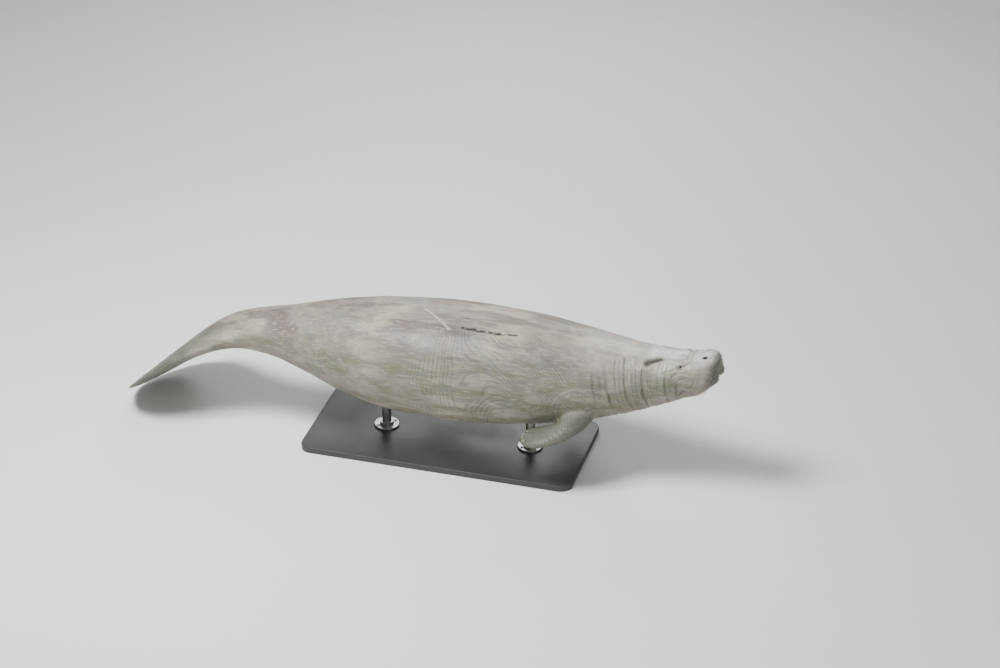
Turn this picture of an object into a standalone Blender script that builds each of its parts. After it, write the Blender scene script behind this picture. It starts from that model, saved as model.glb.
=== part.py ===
"""Life-size model of a manatee gliding at the surface, held by a plain display stand.

Units are metres and +Z is up. The origin is the middle of the base's underside. The animal looks along +X,
with its left side toward +Y. Its flesh is one loft of rounded sections along a bent spine, parted by thin
cuts into head, lower jaw, neck, chest, belly, tail stock and tail paddle. Distances along the spine are
measured from the tip of the snout. A rise is an angle in a section: 0 at the side, 90 at the back and
-90 at the belly.
"""

import math

import bmesh
import bpy
import numpy as np
from mathutils import Matrix, Vector

# Whole animal
BODY_LENGTH = 3.14
TRUNK_HEIGHT = 0.46
TRUNK_MIDDLE = 1.56
SNOUT_X = 1.33
BALANCE_POINT = 1.30
GAP = 0.0003
CUTTER_GROWTH = 0.0004
AROUND = 48
SPINE_STEP = 0.005
SMALLEST_HALF_SIZE = 0.0001

# Sections that each length of the body is lofted through, besides the close ones at a tip
RINGS = {
    "head": 34,
    "lower_jaw": 19,
    "neck": 10,
    "chest": 12,
    "belly": 11,
    "tail_stock": 9,
    "tail_paddle": 16,
}
SNOUT_RING_STEP = 0.001
SNOUT_RINGS = 6
TAIL_RING_STEP = 0.0012
TAIL_RINGS = 5

# Where the flesh is parted, as distances from the snout
HEAD_END = 0.45
NECK_END = 0.62
CHEST_END = 1.25
BELLY_END = 1.95
STOCK_END = 2.32

# Section sizes in centimetres: distance, height above spine, depth below it, half width
SECTIONS = (
    (0, 0, 0, 0),
    (1.5, 5.9, 7.8, 7.6),
    (5, 7.6, 10.9, 10.2),
    (11, 8.0, 12.0, 10.8),
    (18, 8.8, 12.4, 11.3),
    (27, 11.2, 13.8, 13.4),
    (38, 13.6, 16.2, 16.0),
    (52, 17.3, 19.0, 19.4),
    (70, 21.3, 22.2, 24.0),
    (100, 25.5, 25.8, 29.0),
    (130, 26.9, 27.2, 30.6),
    (160, 25.6, 26.0, 29.2),
    (185, 21.6, 21.8, 24.6),
    (205, 16.5, 16.4, 19.0),
    (222, 12.0, 11.8, 15.3),
    (236, 9.0, 8.4, 16.2),
    (251, 6.9, 6.0, 22.0),
    (266, 5.2, 4.4, 29.2),
    (281, 3.9, 3.2, 32.6),
    (295, 2.8, 2.2, 30.2),
    (306, 1.8, 1.4, 20.8),
    (314, 0, 0, 0),
)

# How square a section is: distance in centimetres, upper half, lower half; 2 is an ellipse
SQUARENESS = (
    (0, 2.5, 2.7),
    (12, 2.5, 2.7),
    (25, 2.2, 2.4),
    (60, 2.1, 2.3),
    (150, 2.1, 2.4),
    (215, 2.0, 2.1),
    (251, 1.75, 1.75),
    (314, 1.75, 1.75),
)

# Attitude of the spine in degrees: distance in metres, nose up, turn to the right, roll to the left
ATTITUDE = (
    (0.00, 18.5, 5, 0),
    (0.20, 17.5, 5, 0),
    (0.35, 14, 4, 0),
    (0.50, 10, 3, 0),
    (0.70, 6, 2, 0),
    (0.90, 3.5, 1, 0),
    (1.50, 0.5, 0, 0),
    (1.80, -2, 0, 0),
    (2.00, -2, 0, 0),
    (2.20, 1, 1, 1),
    (2.35, 9, 2, 3),
    (2.50, 25, 3, 6),
    (2.65, 38, 3, 9),
    (2.85, 42, 3, 12),
    (3.14, 33, 3, 14),
)

# Muzzle
MUZZLE_LEAN = 0.35
MUZZLE_LEAN_END = 0.17
MUZZLE_TAPER = 0.18
MUZZLE_TAPER_END = 0.24

# Front of the muzzle: two lip pads that stand forward, and the cleft between them
FRONT_DEPTH = 0.070
PAD_PLACE = (0.050, -0.048)
PAD_BREADTH = 0.030
PAD_HEIGHT = 0.034
PAD_FORWARD = 0.013
CLEFT_BREADTH = 0.0120
CLEFT_DEPTH = 0.011
CLEFT_TOP = -0.004

# Creases: start and end as (distance, rise), then depth and half width
CREASES = (
    ((0.138, 56), (0.192, 12), 0.0055, 0.0085),
    ((0.135, 90), (0.138, 56), 0.0025, 0.0090),
    ((0.275, 60), (0.350, 48), 0.0080, 0.0095),
    ((0.262, 5), (0.300, -60), 0.0060, 0.0110),
    ((0.345, 20), (0.360, -90), 0.0070, 0.0120),
    ((0.430, 55), (0.425, -90), 0.0060, 0.0120),
    ((0.520, 40), (0.505, -90), 0.0050, 0.0130),
)

# Swellings: (distance, rise), half length, half breadth, height
SWELLINGS = (
    ((0.085, -38), 0.045, 0.040, 0.0085),
    ((0.062, 66), 0.022, 0.020, 0.0035),
    ((0.178, 62), 0.035, 0.025, 0.0030),
    ((0.235, -8), 0.040, 0.050, 0.0060),
)
SKIN_RADIUS = 0.12

# Mouth: the line between the lips in the side view as (distance, height), from the front to the throat
MOUTH_LINE = (
    (-0.060, -0.058),
    (0.030, -0.060),
    (0.065, -0.070),
    (0.105, -0.077),
    (0.140, -0.070),
    (0.170, -0.054),
    (0.196, -0.072),
    (0.245, -0.210),
)
MOUTH_CORNER = 0.170
LIP_ARCH = 0.014
LIP_ARCH_BREADTH = 0.055
LIP_ARCH_END = 0.150
LIP_OPENING = 0.003
MOUTH_BLOCK_FLOOR = -0.32
MOUTH_BLOCK_REACH = 0.26
MOUTH_BLOCK_STATIONS = 17
JAW_FRONT = 0.024
JAW_FULL = 0.190
JAW_REAR = 0.255
CHIN_DEPTH_SHARE = 0.78
CHIN_RING_STEP = 0.0012
CHIN_RINGS = 4

# Face
EYE_PLACE = (0.158, 43)
EYE_RADIUS = 0.0105
EYE_DEPTH = 0.0055
LID_SIZE = (0.0240, 0.0170, 0.0095)
LID_SINK = 0.003
LID_OPENING = (0.0092, 0.0060, 0.0120)
NOSTRIL_PLACE = (0.060, 68)
NOSTRIL_SIZE = (0.0130, 0.0095, 0.0220)
EAR_PLACE = (0.292, 32)
EAR_SIZE = (0.0045, 0.0035, 0.0100)
FRAME_STEP = 0.004

# Segments and rings of the ellipsoids that shape the face and the nails
FINE = (20, 12)
MIDDLING = (16, 10)
PLAIN = (14, 8)
COARSE = (10, 8)
COARSEST = (10, 6)

# Flippers: shoulder as distance, offset from the spine to the side and below it
SHOULDER = (0.655, 0.135, 0.105)
# Path of the flipper's middle: back, outward and down from the shoulder
FLIPPER_PATH = (
    (0.000, 0.000, 0.000),
    (0.030, 0.070, 0.042),
    (0.080, 0.118, 0.074),
    (0.145, 0.145, 0.092),
    (0.215, 0.155, 0.102),
    (0.285, 0.152, 0.106),
)
# Flipper sections: share of the path, half breadth, half thickness
FLIPPER_SECTIONS = (
    (0.00, 0.084, 0.070),
    (0.20, 0.079, 0.060),
    (0.38, 0.066, 0.041),
    (0.55, 0.066, 0.029),
    (0.72, 0.070, 0.022),
    (0.86, 0.063, 0.017),
    (0.95, 0.042, 0.012),
    (1.00, 0.000, 0.000),
)
FLIPPER_EDGE_POWER = 1.85
FLIPPER_RINGS = 17
FLIPPER_RING_CROWDING = 1.6
FLIPPER_AROUND = 24
PATH_STEP = 0.01
# Way from the rear edge of the blade to its leading edge: forward, outward, up
BLADE_LEAD = (0.50, 0.78, -0.25)

# Nails: share of the path and place across the blade, as a share of its half breadth
NAIL_PLACES = ((0.915, -0.60), (0.950, -0.26), (0.952, 0.20), (0.920, 0.56))
NAIL_SIZE = (0.0085, 0.0070, 0.0028)

# Stand
BASE_LENGTH = 1.36
BASE_WIDTH = 0.62
BASE_THICKNESS = 0.030
BASE_CORNER = 0.060
BASE_CORNER_SEGMENTS = 8
BASE_EDGE = 0.004
BASE_EDGE_SEGMENTS = 3
ROD_RADIUS = 0.0225
ROD_DISTANCES = {"front": 0.95, "rear": 1.68}
ROD_TOP_BELOW_SPINE = 0.10
ROD_CUT_REACH = 0.25
ROD_CUT_RINGS = 18
ROOT_CUT_RINGS = 40
TURNED_SEGMENTS = 32
FLANGE_RADIUS = 0.062
FLANGE_THICKNESS = 0.010
FLANGE_EDGE = 0.0025

# Materials: colour as linear red, green and blue, roughness, metallic
SKIN = ((0.25, 0.235, 0.215), 0.55, 0.0)
NAIL = ((0.42, 0.37, 0.30), 0.45, 0.0)
EYE = ((0.02, 0.015, 0.012), 0.08, 0.0)
STAND_BLACK = ((0.035, 0.037, 0.040), 0.5, 0.0)
STAND_STEEL = ((0.62, 0.62, 0.61), 0.3, 1.0)

# Edges that stay sharp in the shading, in degrees
SHARP_ON_ANIMAL = 40
SHARP_ON_STAND = 30


def smooth_curve(knots):
    """Return a cubic function through (place, value) knots that never overshoots them."""
    x, y = np.array(knots, float).T
    step = np.diff(x)
    slope = np.diff(y) / step
    tangent = np.zeros(len(x))
    tangent[0], tangent[-1] = slope[0], slope[-1]
    for i in range(1, len(x) - 1):
        if slope[i - 1] * slope[i] > 0:
            before = step[i - 1] + 2 * step[i]
            after = 2 * step[i - 1] + step[i]
            tangent[i] = (before + after) / (before / slope[i - 1] + after / slope[i])

    def value(at):
        at = min(max(at, x[0]), x[-1])
        i = min(int(np.searchsorted(x, at, side="right")) - 1, len(step) - 1)
        t = (at - x[i]) / step[i]
        start = (1 + 2 * t) * (1 - t) ** 2 * y[i] + t * (1 - t) ** 2 * step[i] * tangent[i]
        end = t * t * (3 - 2 * t) * y[i + 1] + t * t * (t - 1) * step[i] * tangent[i + 1]
        return float(start + end)

    return value


def half_size(column):
    """Half size along the body; its square is what runs smoothly, so both tips come out round."""
    square = smooth_curve([(row[0] / 100, (row[column] / 100) ** 2) for row in SECTIONS])
    return lambda s: math.sqrt(max(square(s), 0.0))


half_up = half_size(1)
half_down = half_size(2)
half_width = half_size(3)
square_up = smooth_curve([(row[0] / 100, row[1]) for row in SQUARENESS])
square_down = smooth_curve([(row[0] / 100, row[2]) for row in SQUARENESS])
nose_up = smooth_curve([(row[0], math.radians(row[1])) for row in ATTITUDE])
turn_right = smooth_curve([(row[0], math.radians(row[2])) for row in ATTITUDE])
roll_left = smooth_curve([(row[0], math.radians(row[3])) for row in ATTITUDE])


def spine_directions(s):
    """Forward, left and up at a distance from the snout."""
    pitch, yaw, roll = nose_up(s), turn_right(s), roll_left(s)
    forward = Vector((math.cos(pitch) * math.cos(yaw), -math.cos(pitch) * math.sin(yaw), math.sin(pitch)))
    up = Vector((-math.sin(pitch) * math.cos(yaw), math.sin(pitch) * math.sin(yaw), math.cos(pitch)))
    left = up.cross(forward)
    return (
        forward,
        left * math.cos(roll) - up * math.sin(roll),
        up * math.cos(roll) + left * math.sin(roll),
    )


def lay_spine():
    """Points of the spine, one each SPINE_STEP, in the animal's final place."""
    points = [Vector((0, 0, 0))]
    for i in range(round(BODY_LENGTH / SPINE_STEP)):
        forward = spine_directions((i + 0.5) * SPINE_STEP)[0]
        points.append(points[-1] - forward * SPINE_STEP)
    shift = Vector(
        (
            SNOUT_X,
            -points[round(BALANCE_POINT / SPINE_STEP)].y,
            TRUNK_HEIGHT - points[round(TRUNK_MIDDLE / SPINE_STEP)].z,
        )
    )
    return [point + shift for point in points]


SPINE = lay_spine()


def spine_frame(s):
    """Place, forward, left and up of the spine; it runs on straight ahead of the snout."""
    forward, left, up = spine_directions(s)
    if s <= 0:
        return SPINE[0] - forward * s, forward, left, up
    i = min(int(s / SPINE_STEP), len(SPINE) - 2)
    return SPINE[i].lerp(SPINE[i + 1], s / SPINE_STEP - i), forward, left, up


def signed_power(value, power):
    return math.copysign(abs(value) ** power, value)


def fade_out(s, end):
    """1 at the snout, falling smoothly to 0 at a distance."""
    t = min(max(s / end, 0.0), 1.0)
    return 1 - t * t * (3 - 2 * t)


def on_unrolled_skin(place):
    """A (distance, rise) place as flat metres."""
    return Vector((place[0], math.radians(place[1]) * SKIN_RADIUS))


def relief(s, rise):
    """How far creases and swellings move the skin outward."""
    here = on_unrolled_skin((s, rise))
    height = 0.0
    for start, end, depth, half in CREASES:
        a, b = on_unrolled_skin(start), on_unrolled_skin(end)
        along = min(max((here - a).dot(b - a) / (b - a).length_squared, 0.0), 1.0)
        height -= depth * math.exp(-((here - a.lerp(b, along)).length / half) ** 2)
    for middle, length, breadth, rise_height in SWELLINGS:
        offset = here - on_unrolled_skin(middle)
        height += rise_height * math.exp(-((offset.x / length) ** 2) - (offset.y / breadth) ** 2)
    return height


def front_relief(s, across, above):
    """How far the lip pads and their cleft move the front of the muzzle forward."""
    pad = math.exp(-(((abs(across) - PAD_PLACE[0]) / PAD_BREADTH) ** 2))
    pad *= math.exp(-(((above - PAD_PLACE[1]) / PAD_HEIGHT) ** 2))
    cleft = math.exp(-((across / CLEFT_BREADTH) ** 2)) if above < CLEFT_TOP else 0.0
    return fade_out(s, FRONT_DEPTH) * (PAD_FORWARD * pad - CLEFT_DEPTH * cleft)


def skin_point(s, angle, grow=0.0, scale=(1.0, 1.0)):
    """Point of the skin; angle 0 is the left side, 90 degrees the back. Scale is for width and depth."""
    rise = math.degrees(math.asin(max(min(math.sin(angle), 1.0), -1.0)))
    upper = math.sin(angle) >= 0
    width = max(half_width(s), SMALLEST_HALF_SIZE)
    height = max(half_up(s) if upper else half_down(s), SMALLEST_HALF_SIZE)
    power = 2 / (square_up(s) if upper else square_down(s))
    share_across = signed_power(math.cos(angle), power)
    share_above = signed_power(math.sin(angle), power)
    across = width * share_across * scale[0]
    above = height * share_above * (1.0 if upper else scale[1])
    outward = Vector((share_across / width, share_above / height)).normalized()
    swell = relief(s, rise) + grow
    across = (across + outward.x * swell) * (1 - MUZZLE_TAPER * fade_out(s, MUZZLE_TAPER_END) * share_above)
    above += outward.y * swell
    place, forward, left, up = spine_frame(s)
    ahead = MUZZLE_LEAN * fade_out(s, MUZZLE_LEAN_END) * above + front_relief(s, across, above)
    return place + left * across + up * above + forward * ahead


def skin_frame(place, side):
    """Matrix on the skin: its X runs toward the snout and its Z outward; side is 1 for left."""
    s, rise = place
    angle = math.radians(rise) if side > 0 else math.pi - math.radians(rise)
    point = skin_point(s, angle)
    toward_snout = (skin_point(s - FRAME_STEP, angle) - skin_point(s + FRAME_STEP, angle)).normalized()
    turn = FRAME_STEP / SKIN_RADIUS * side
    up_skin = (skin_point(s, angle + turn) - skin_point(s, angle - turn)).normalized()
    outward = up_skin.cross(toward_snout).normalized() * side
    columns = (toward_snout, outward.cross(toward_snout), outward)
    turned = Matrix([[column[row] for column in columns] for row in range(3)])
    return Matrix.Translation(point) @ turned.to_4x4()


def evenly(start, end, count):
    """Distances from start to end, both included."""
    return [start + (end - start) * i / (count - 1) for i in range(count)]


def new_object(name, mesh_builder):
    """Object from a bmesh that has its faces turned outward."""
    mesh_builder.normal_update()
    bmesh.ops.recalc_face_normals(mesh_builder, faces=mesh_builder.faces)
    mesh = bpy.data.meshes.new(name)
    mesh_builder.to_mesh(mesh)
    mesh_builder.free()
    thing = bpy.data.objects.new(name, mesh)
    bpy.context.scene.collection.objects.link(thing)
    return thing


def loft(name, rings, start_tip=None, end_tip=None):
    """Closed solid through rings of points; each end is a flat cap, or closes on a tip point."""
    build = bmesh.new()
    loops = [[build.verts.new(point) for point in ring] for ring in rings]
    count = len(loops[0])
    for loop, following in zip(loops, loops[1:]):
        for i in range(count):
            j = (i + 1) % count
            build.faces.new((loop[i], loop[j], following[j], following[i]))
    for loop, tip in ((loops[0], start_tip), (loops[-1], end_tip)):
        if tip is None:
            build.faces.new(loop)
            continue
        point = build.verts.new(tip)
        for i in range(count):
            build.faces.new((loop[i], loop[(i + 1) % count], point))
    return new_object(name, build)


def body_loft(name, distances, grow=0.0):
    """Length of the body through sections at the distances; a distance of 0 or the full length is a tip."""
    start_tip = end_tip = None
    if distances[0] == 0:
        start_tip = spine_frame(0)[0]
        distances = distances[1:]
    if distances[-1] == BODY_LENGTH:
        end_tip = spine_frame(BODY_LENGTH)[0]
        distances = distances[:-1]
    angles = [2 * math.pi * i / AROUND for i in range(AROUND)]
    rings = [[skin_point(s, angle, grow) for angle in angles] for s in distances]
    return loft(name, rings, start_tip, end_tip)


def ellipsoid(name, frame, size, fineness=MIDDLING):
    """Ellipsoid with half sizes along the axes of a frame."""
    segments, rings = fineness
    build = bmesh.new()
    bmesh.ops.create_uvsphere(build, u_segments=segments, v_segments=rings, radius=1.0)
    build.transform(frame @ Matrix.Diagonal((*size, 1.0)))
    return new_object(name, build)


def keep_largest_body(thing):
    """Remove every loose scrap but the largest closed surface."""
    build = bmesh.new()
    build.from_mesh(thing.data)
    left_over = set(build.faces)
    bodies = []
    while left_over:
        group = [left_over.pop()]
        for face in group:
            for edge in face.edges:
                for neighbour in edge.link_faces:
                    if neighbour in left_over:
                        left_over.remove(neighbour)
                        group.append(neighbour)
        bodies.append(group)
    bodies.sort(key=lambda group: sum(face.calc_area() for face in group))
    for group in bodies[:-1]:
        bmesh.ops.delete(build, geom=group, context="FACES")
    build.to_mesh(thing.data)
    build.free()


def boolean(thing, tools, operation):
    """Apply one Boolean for each tool, then remove the tools."""
    for tool in tools:
        modifier = thing.modifiers.new(operation.title(), "BOOLEAN")
        modifier.operation = operation
        modifier.solver = "EXACT"
        modifier.object = tool
    evaluated = thing.evaluated_get(bpy.context.evaluated_depsgraph_get())
    result = bpy.data.meshes.new_from_object(evaluated)
    thing.modifiers.clear()
    old = thing.data
    thing.data = result
    bpy.data.meshes.remove(old)
    result.name = thing.name
    for tool in tools:
        bpy.data.objects.remove(tool)
    keep_largest_body(thing)


def finish(thing, material, parent, sharp_angle=SHARP_ON_ANIMAL):
    """Material, smooth shading and parent."""
    thing.data.materials.clear()
    thing.data.materials.append(material)
    thing.data.shade_smooth()
    thing.data.set_sharp_from_angle(angle=math.radians(sharp_angle))
    thing.parent = parent


def make_material(name, look):
    colour, roughness, metallic = look
    material = bpy.data.materials.new(name)
    material.use_nodes = True
    shader = material.node_tree.nodes["Principled BSDF"]
    shader.inputs["Base Color"].default_value = (*colour, 1.0)
    shader.inputs["Roughness"].default_value = roughness
    shader.inputs["Metallic"].default_value = metallic
    return material


def mouth_outline(lower):
    """Side view of the mouth block; the lower lip's copy leaves the lips a little open at the front."""
    outline = []
    for s, height in MOUTH_LINE:
        opening = GAP
        if s < MOUTH_CORNER:
            opening += LIP_OPENING * min((MOUTH_CORNER - s) / (MOUTH_CORNER - JAW_FRONT), 1.0)
        back_shift = GAP if s > MOUTH_CORNER else 0.0
        outline.append((s - back_shift, height - opening) if lower else (s, height))
    outline.append((outline[-1][0], MOUTH_BLOCK_FLOOR))
    outline.append((outline[0][0], MOUTH_BLOCK_FLOOR))
    return outline


def mouth_block(name, lower):
    """Block below the mouth line, arched between the two pads of the upper lip."""
    build = bmesh.new()
    stations = []
    for beside in evenly(-MOUTH_BLOCK_REACH, MOUTH_BLOCK_REACH, MOUTH_BLOCK_STATIONS):
        arch = LIP_ARCH * math.exp(-((beside / LIP_ARCH_BREADTH) ** 2))
        loop = []
        for s, height in mouth_outline(lower):
            place, _, left, up = spine_frame(s)
            raised = 0.0 if height == MOUTH_BLOCK_FLOOR else arch * fade_out(s, LIP_ARCH_END)
            loop.append(build.verts.new(place + up * (height + raised) + left * beside))
        stations.append(loop)
    count = len(stations[0])
    for loop, following in zip(stations, stations[1:]):
        for i in range(count):
            j = (i + 1) % count
            build.faces.new((loop[i], loop[j], following[j], following[i]))
    build.faces.new(stations[0])
    build.faces.new(stations[-1])
    return new_object(name, build)


def jaw_scale(s):
    """Width and depth of the jaw as shares of the head's, growing round from the chin."""
    u = min(max((s - JAW_FRONT) / (JAW_FULL - JAW_FRONT), 0.0), 1.0)
    round_growth = math.sqrt(1 - (1 - u) ** 2)
    return round_growth, CHIN_DEPTH_SHARE + (1 - CHIN_DEPTH_SHARE) * round_growth


def build_jaw():
    """Lower jaw: a narrower copy of the head's underside, kept below the mouth line."""
    chin_steps = [JAW_FRONT + CHIN_RING_STEP * k * k for k in range(1, CHIN_RINGS + 1)]
    distances = chin_steps[:-1] + evenly(chin_steps[-1], JAW_REAR, RINGS["lower_jaw"])
    angles = [2 * math.pi * i / AROUND for i in range(AROUND)]
    rings = [[skin_point(s, angle, scale=jaw_scale(s)) for angle in angles] for s in distances]
    jaw = loft("lower_jaw", rings)
    boolean(jaw, [mouth_block("jaw_limit", lower=True)], "INTERSECT")
    return jaw


def sunk(frame, depth):
    return frame @ Matrix.Translation((0, 0, -depth))


def eye_frame(side):
    return sunk(skin_frame(EYE_PLACE, side), EYE_DEPTH)


def build_head():
    """Head with lids, nostrils, ear openings and the upper lip."""
    snout_steps = [SNOUT_RING_STEP * k * k for k in range(SNOUT_RINGS)]
    distances = snout_steps[:-1] + evenly(snout_steps[-1], HEAD_END - GAP / 2, RINGS["head"])
    head = body_loft("head", distances)
    lids = [ellipsoid("lid", sunk(skin_frame(EYE_PLACE, side), LID_SINK), LID_SIZE) for side in (1, -1)]
    boolean(head, lids, "UNION")
    cutters = [mouth_block("mouth_cut", lower=False)]
    for side in (1, -1):
        socket = EYE_RADIUS + GAP
        cutters.append(ellipsoid("socket", eye_frame(side), (socket,) * 3, FINE))
        cutters.append(ellipsoid("lid_opening", skin_frame(EYE_PLACE, side), LID_OPENING))
        cutters.append(ellipsoid("nostril", skin_frame(NOSTRIL_PLACE, side), NOSTRIL_SIZE))
        cutters.append(ellipsoid("ear", skin_frame(EAR_PLACE, side), EAR_SIZE, COARSE))
    boolean(head, cutters, "DIFFERENCE")
    return head


def build_eye(name, side):
    return ellipsoid(name, eye_frame(side), (EYE_RADIUS,) * 3, PLAIN)


def flipper_frame(share, side):
    """Place on the flipper's middle line with its run, breadth and upper face directions."""
    lengths = [0.0]
    for a, b in zip(FLIPPER_PATH, FLIPPER_PATH[1:]):
        lengths.append(lengths[-1] + (Vector(b) - Vector(a)).length)
    curves = [
        smooth_curve([(length / lengths[-1], row[axis]) for length, row in zip(lengths, FLIPPER_PATH)])
        for axis in range(3)
    ]
    s, beside, below = SHOULDER
    place, forward, left, up = spine_frame(s)
    shoulder = place + left * side * beside - up * below

    def on_path(at):
        back, outward, down = (curve(at) for curve in curves)
        return shoulder - forward * back + left * side * outward - up * down

    ahead, behind = min(share + PATH_STEP, 1.0), max(share - PATH_STEP, 0.0)
    run = (on_path(ahead) - on_path(behind)).normalized()
    breadth = forward * BLADE_LEAD[0] + left * side * BLADE_LEAD[1] + up * BLADE_LEAD[2]
    breadth = (breadth - run * breadth.dot(run)).normalized()
    face = run.cross(breadth).normalized()
    if face.dot(up) < 0:
        face = -face
    return on_path(share), run, breadth, face


flipper_breadth = smooth_curve([(row[0], row[1] ** 2) for row in FLIPPER_SECTIONS])
flipper_thickness = smooth_curve([(row[0], row[2] ** 2) for row in FLIPPER_SECTIONS])


def flipper_point(share, angle, side):
    """Point of the flipper's skin; angle 0 is its leading edge and 90 degrees its upper face."""
    place, _, breadth, face = flipper_frame(share, side)
    half_breadth = math.sqrt(max(flipper_breadth(share), 0.0))
    half_thickness = math.sqrt(max(flipper_thickness(share), 0.0))
    power = 2 / FLIPPER_EDGE_POWER
    across = half_breadth * signed_power(math.cos(angle), power)
    outward = half_thickness * signed_power(math.sin(angle), power)
    return place + breadth * across + face * outward


def nail_frame(place, side):
    """Matrix of a nail on the flipper's upper face: X toward the tip, Z outward."""
    share, across = place
    angle = math.acos(signed_power(across, FLIPPER_EDGE_POWER / 2))
    point = flipper_point(share, angle, side)
    toward_tip = flipper_point(share + PATH_STEP, angle, side) - flipper_point(share - PATH_STEP, angle, side)
    toward_tip.normalize()
    over = flipper_point(share, angle + PATH_STEP, side) - flipper_point(share, angle - PATH_STEP, side)
    outward = toward_tip.cross(over).normalized()
    if outward.dot(flipper_frame(share, side)[3]) < 0:
        outward = -outward
    beside = outward.cross(toward_tip).normalized()
    columns = (toward_tip, beside, outward)
    turned = Matrix([[column[row] for column in columns] for row in range(3)])
    return Matrix.Translation(point) @ turned.to_4x4()


def build_flipper(name, side):
    """Flipper with a root shaped to the body and a socket for each nail."""
    shares = [1 - (1 - i / FLIPPER_RINGS) ** FLIPPER_RING_CROWDING for i in range(FLIPPER_RINGS)]
    angles = [2 * math.pi * i / FLIPPER_AROUND for i in range(FLIPPER_AROUND)]
    rings = [[flipper_point(share, angle, side) for angle in angles] for share in shares]
    flipper = loft(name, rings, end_tip=flipper_frame(1.0, side)[0])
    cutters = [body_loft("body_cut", evenly(HEAD_END, CHEST_END, ROOT_CUT_RINGS), CUTTER_GROWTH)]
    for place in NAIL_PLACES:
        grown = [half + GAP for half in NAIL_SIZE]
        cutters.append(ellipsoid("nail_socket", nail_frame(place, side), grown, COARSEST))
    boolean(flipper, cutters, "DIFFERENCE")
    return flipper


def build_base():
    """Base plate with round corners and a softened upper rim."""
    build = bmesh.new()
    bmesh.ops.create_cube(build, size=1.0)
    build.transform(Matrix.Diagonal((BASE_LENGTH, BASE_WIDTH, BASE_THICKNESS, 1.0)))
    build.transform(Matrix.Translation((0, 0, BASE_THICKNESS / 2)))
    for is_wanted, offset, segments in (
        (lambda low, high: high - low > BASE_EDGE, BASE_CORNER, BASE_CORNER_SEGMENTS),
        (lambda low, high: low > BASE_THICKNESS - GAP, BASE_EDGE, BASE_EDGE_SEGMENTS),
    ):
        edges = [edge for edge in build.edges if is_wanted(*sorted(vert.co.z for vert in edge.verts))]
        bmesh.ops.bevel(build, geom=edges, offset=offset, segments=segments, profile=0.5, affect="EDGES")
    return new_object("stand_base", build)


def turned_solid(name, profile, middle):
    """Round solid from an outer profile of (radius, height) points, listed from bottom to top."""
    turns = [2 * math.pi * i / TURNED_SEGMENTS for i in range(TURNED_SEGMENTS)]
    axis = Vector((middle.x, middle.y, 0))
    rings = [
        [axis + Vector((radius * math.cos(turn), radius * math.sin(turn), height)) for turn in turns]
        for radius, height in profile
    ]
    return loft(name, rings)


def build_rod(name, s):
    """Steel rod from its flange up to the belly, its top cut to the belly's curve."""
    spine = spine_frame(s)[0]
    foot = BASE_THICKNESS + FLANGE_THICKNESS + 2 * GAP
    rod = turned_solid(name, [(ROD_RADIUS, foot), (ROD_RADIUS, spine.z - ROD_TOP_BELOW_SPINE)], spine)
    distances = evenly(s - ROD_CUT_REACH, s + ROD_CUT_REACH, ROD_CUT_RINGS)
    boolean(rod, [body_loft("body_cut", distances, CUTTER_GROWTH)], "DIFFERENCE")
    return rod


def build_flange(name, s):
    """Round foot plate under a rod."""
    bottom = BASE_THICKNESS + GAP
    top = bottom + FLANGE_THICKNESS
    profile = [
        (FLANGE_RADIUS, bottom),
        (FLANGE_RADIUS, top - FLANGE_EDGE),
        (FLANGE_RADIUS - FLANGE_EDGE, top),
    ]
    return turned_solid(name, profile, spine_frame(s)[0])


def build_body_pieces():
    """Neck, chest, belly, tail stock and tail paddle, each a length of the loft between two cuts."""
    cuts = {
        "neck": (HEAD_END, NECK_END),
        "chest": (NECK_END, CHEST_END),
        "belly": (CHEST_END, BELLY_END),
        "tail_stock": (BELLY_END, STOCK_END),
    }
    pieces = []
    for name, (start, end) in cuts.items():
        pieces.append(body_loft(name, evenly(start + GAP / 2, end - GAP / 2, RINGS[name])))
    tip_steps = [BODY_LENGTH - TAIL_RING_STEP * k * k for k in range(TAIL_RINGS - 1, -1, -1)]
    paddle = evenly(STOCK_END + GAP / 2, tip_steps[0], RINGS["tail_paddle"]) + tip_steps[1:]
    pieces.append(body_loft("tail_paddle", paddle))
    return pieces


def main():
    for thing in list(bpy.data.objects):
        bpy.data.objects.remove(thing)
    animal = bpy.data.objects.new("animal", None)
    stand = bpy.data.objects.new("stand", None)
    for empty in (animal, stand):
        bpy.context.scene.collection.objects.link(empty)

    skin = make_material("skin", SKIN)
    nail = make_material("nail", NAIL)
    wet_eye = make_material("eye", EYE)
    black = make_material("stand_black", STAND_BLACK)
    steel = make_material("stand_steel", STAND_STEEL)

    for piece in [build_head(), build_jaw(), *build_body_pieces()]:
        finish(piece, skin, animal)
    for side_name, side in (("left", 1), ("right", -1)):
        finish(build_flipper(f"flipper_{side_name}", side), skin, animal)
        finish(build_eye(f"eye_{side_name}", side), wet_eye, animal)
        for number, place in enumerate(NAIL_PLACES, start=1):
            name = f"nail_{side_name}_{number}"
            shape = ellipsoid(name, nail_frame(place, side), NAIL_SIZE, COARSEST)
            finish(shape, nail, animal)

    finish(build_base(), black, stand, SHARP_ON_STAND)
    for rod_name, s in ROD_DISTANCES.items():
        finish(build_flange(f"stand_flange_{rod_name}", s), steel, stand, SHARP_ON_STAND)
        finish(build_rod(f"stand_rod_{rod_name}", s), steel, stand, SHARP_ON_STAND)


main()
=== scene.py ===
import math

import bpy
import numpy as np
from mathutils import Matrix, Vector
from mathutils.bvhtree import BVHTree


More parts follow.
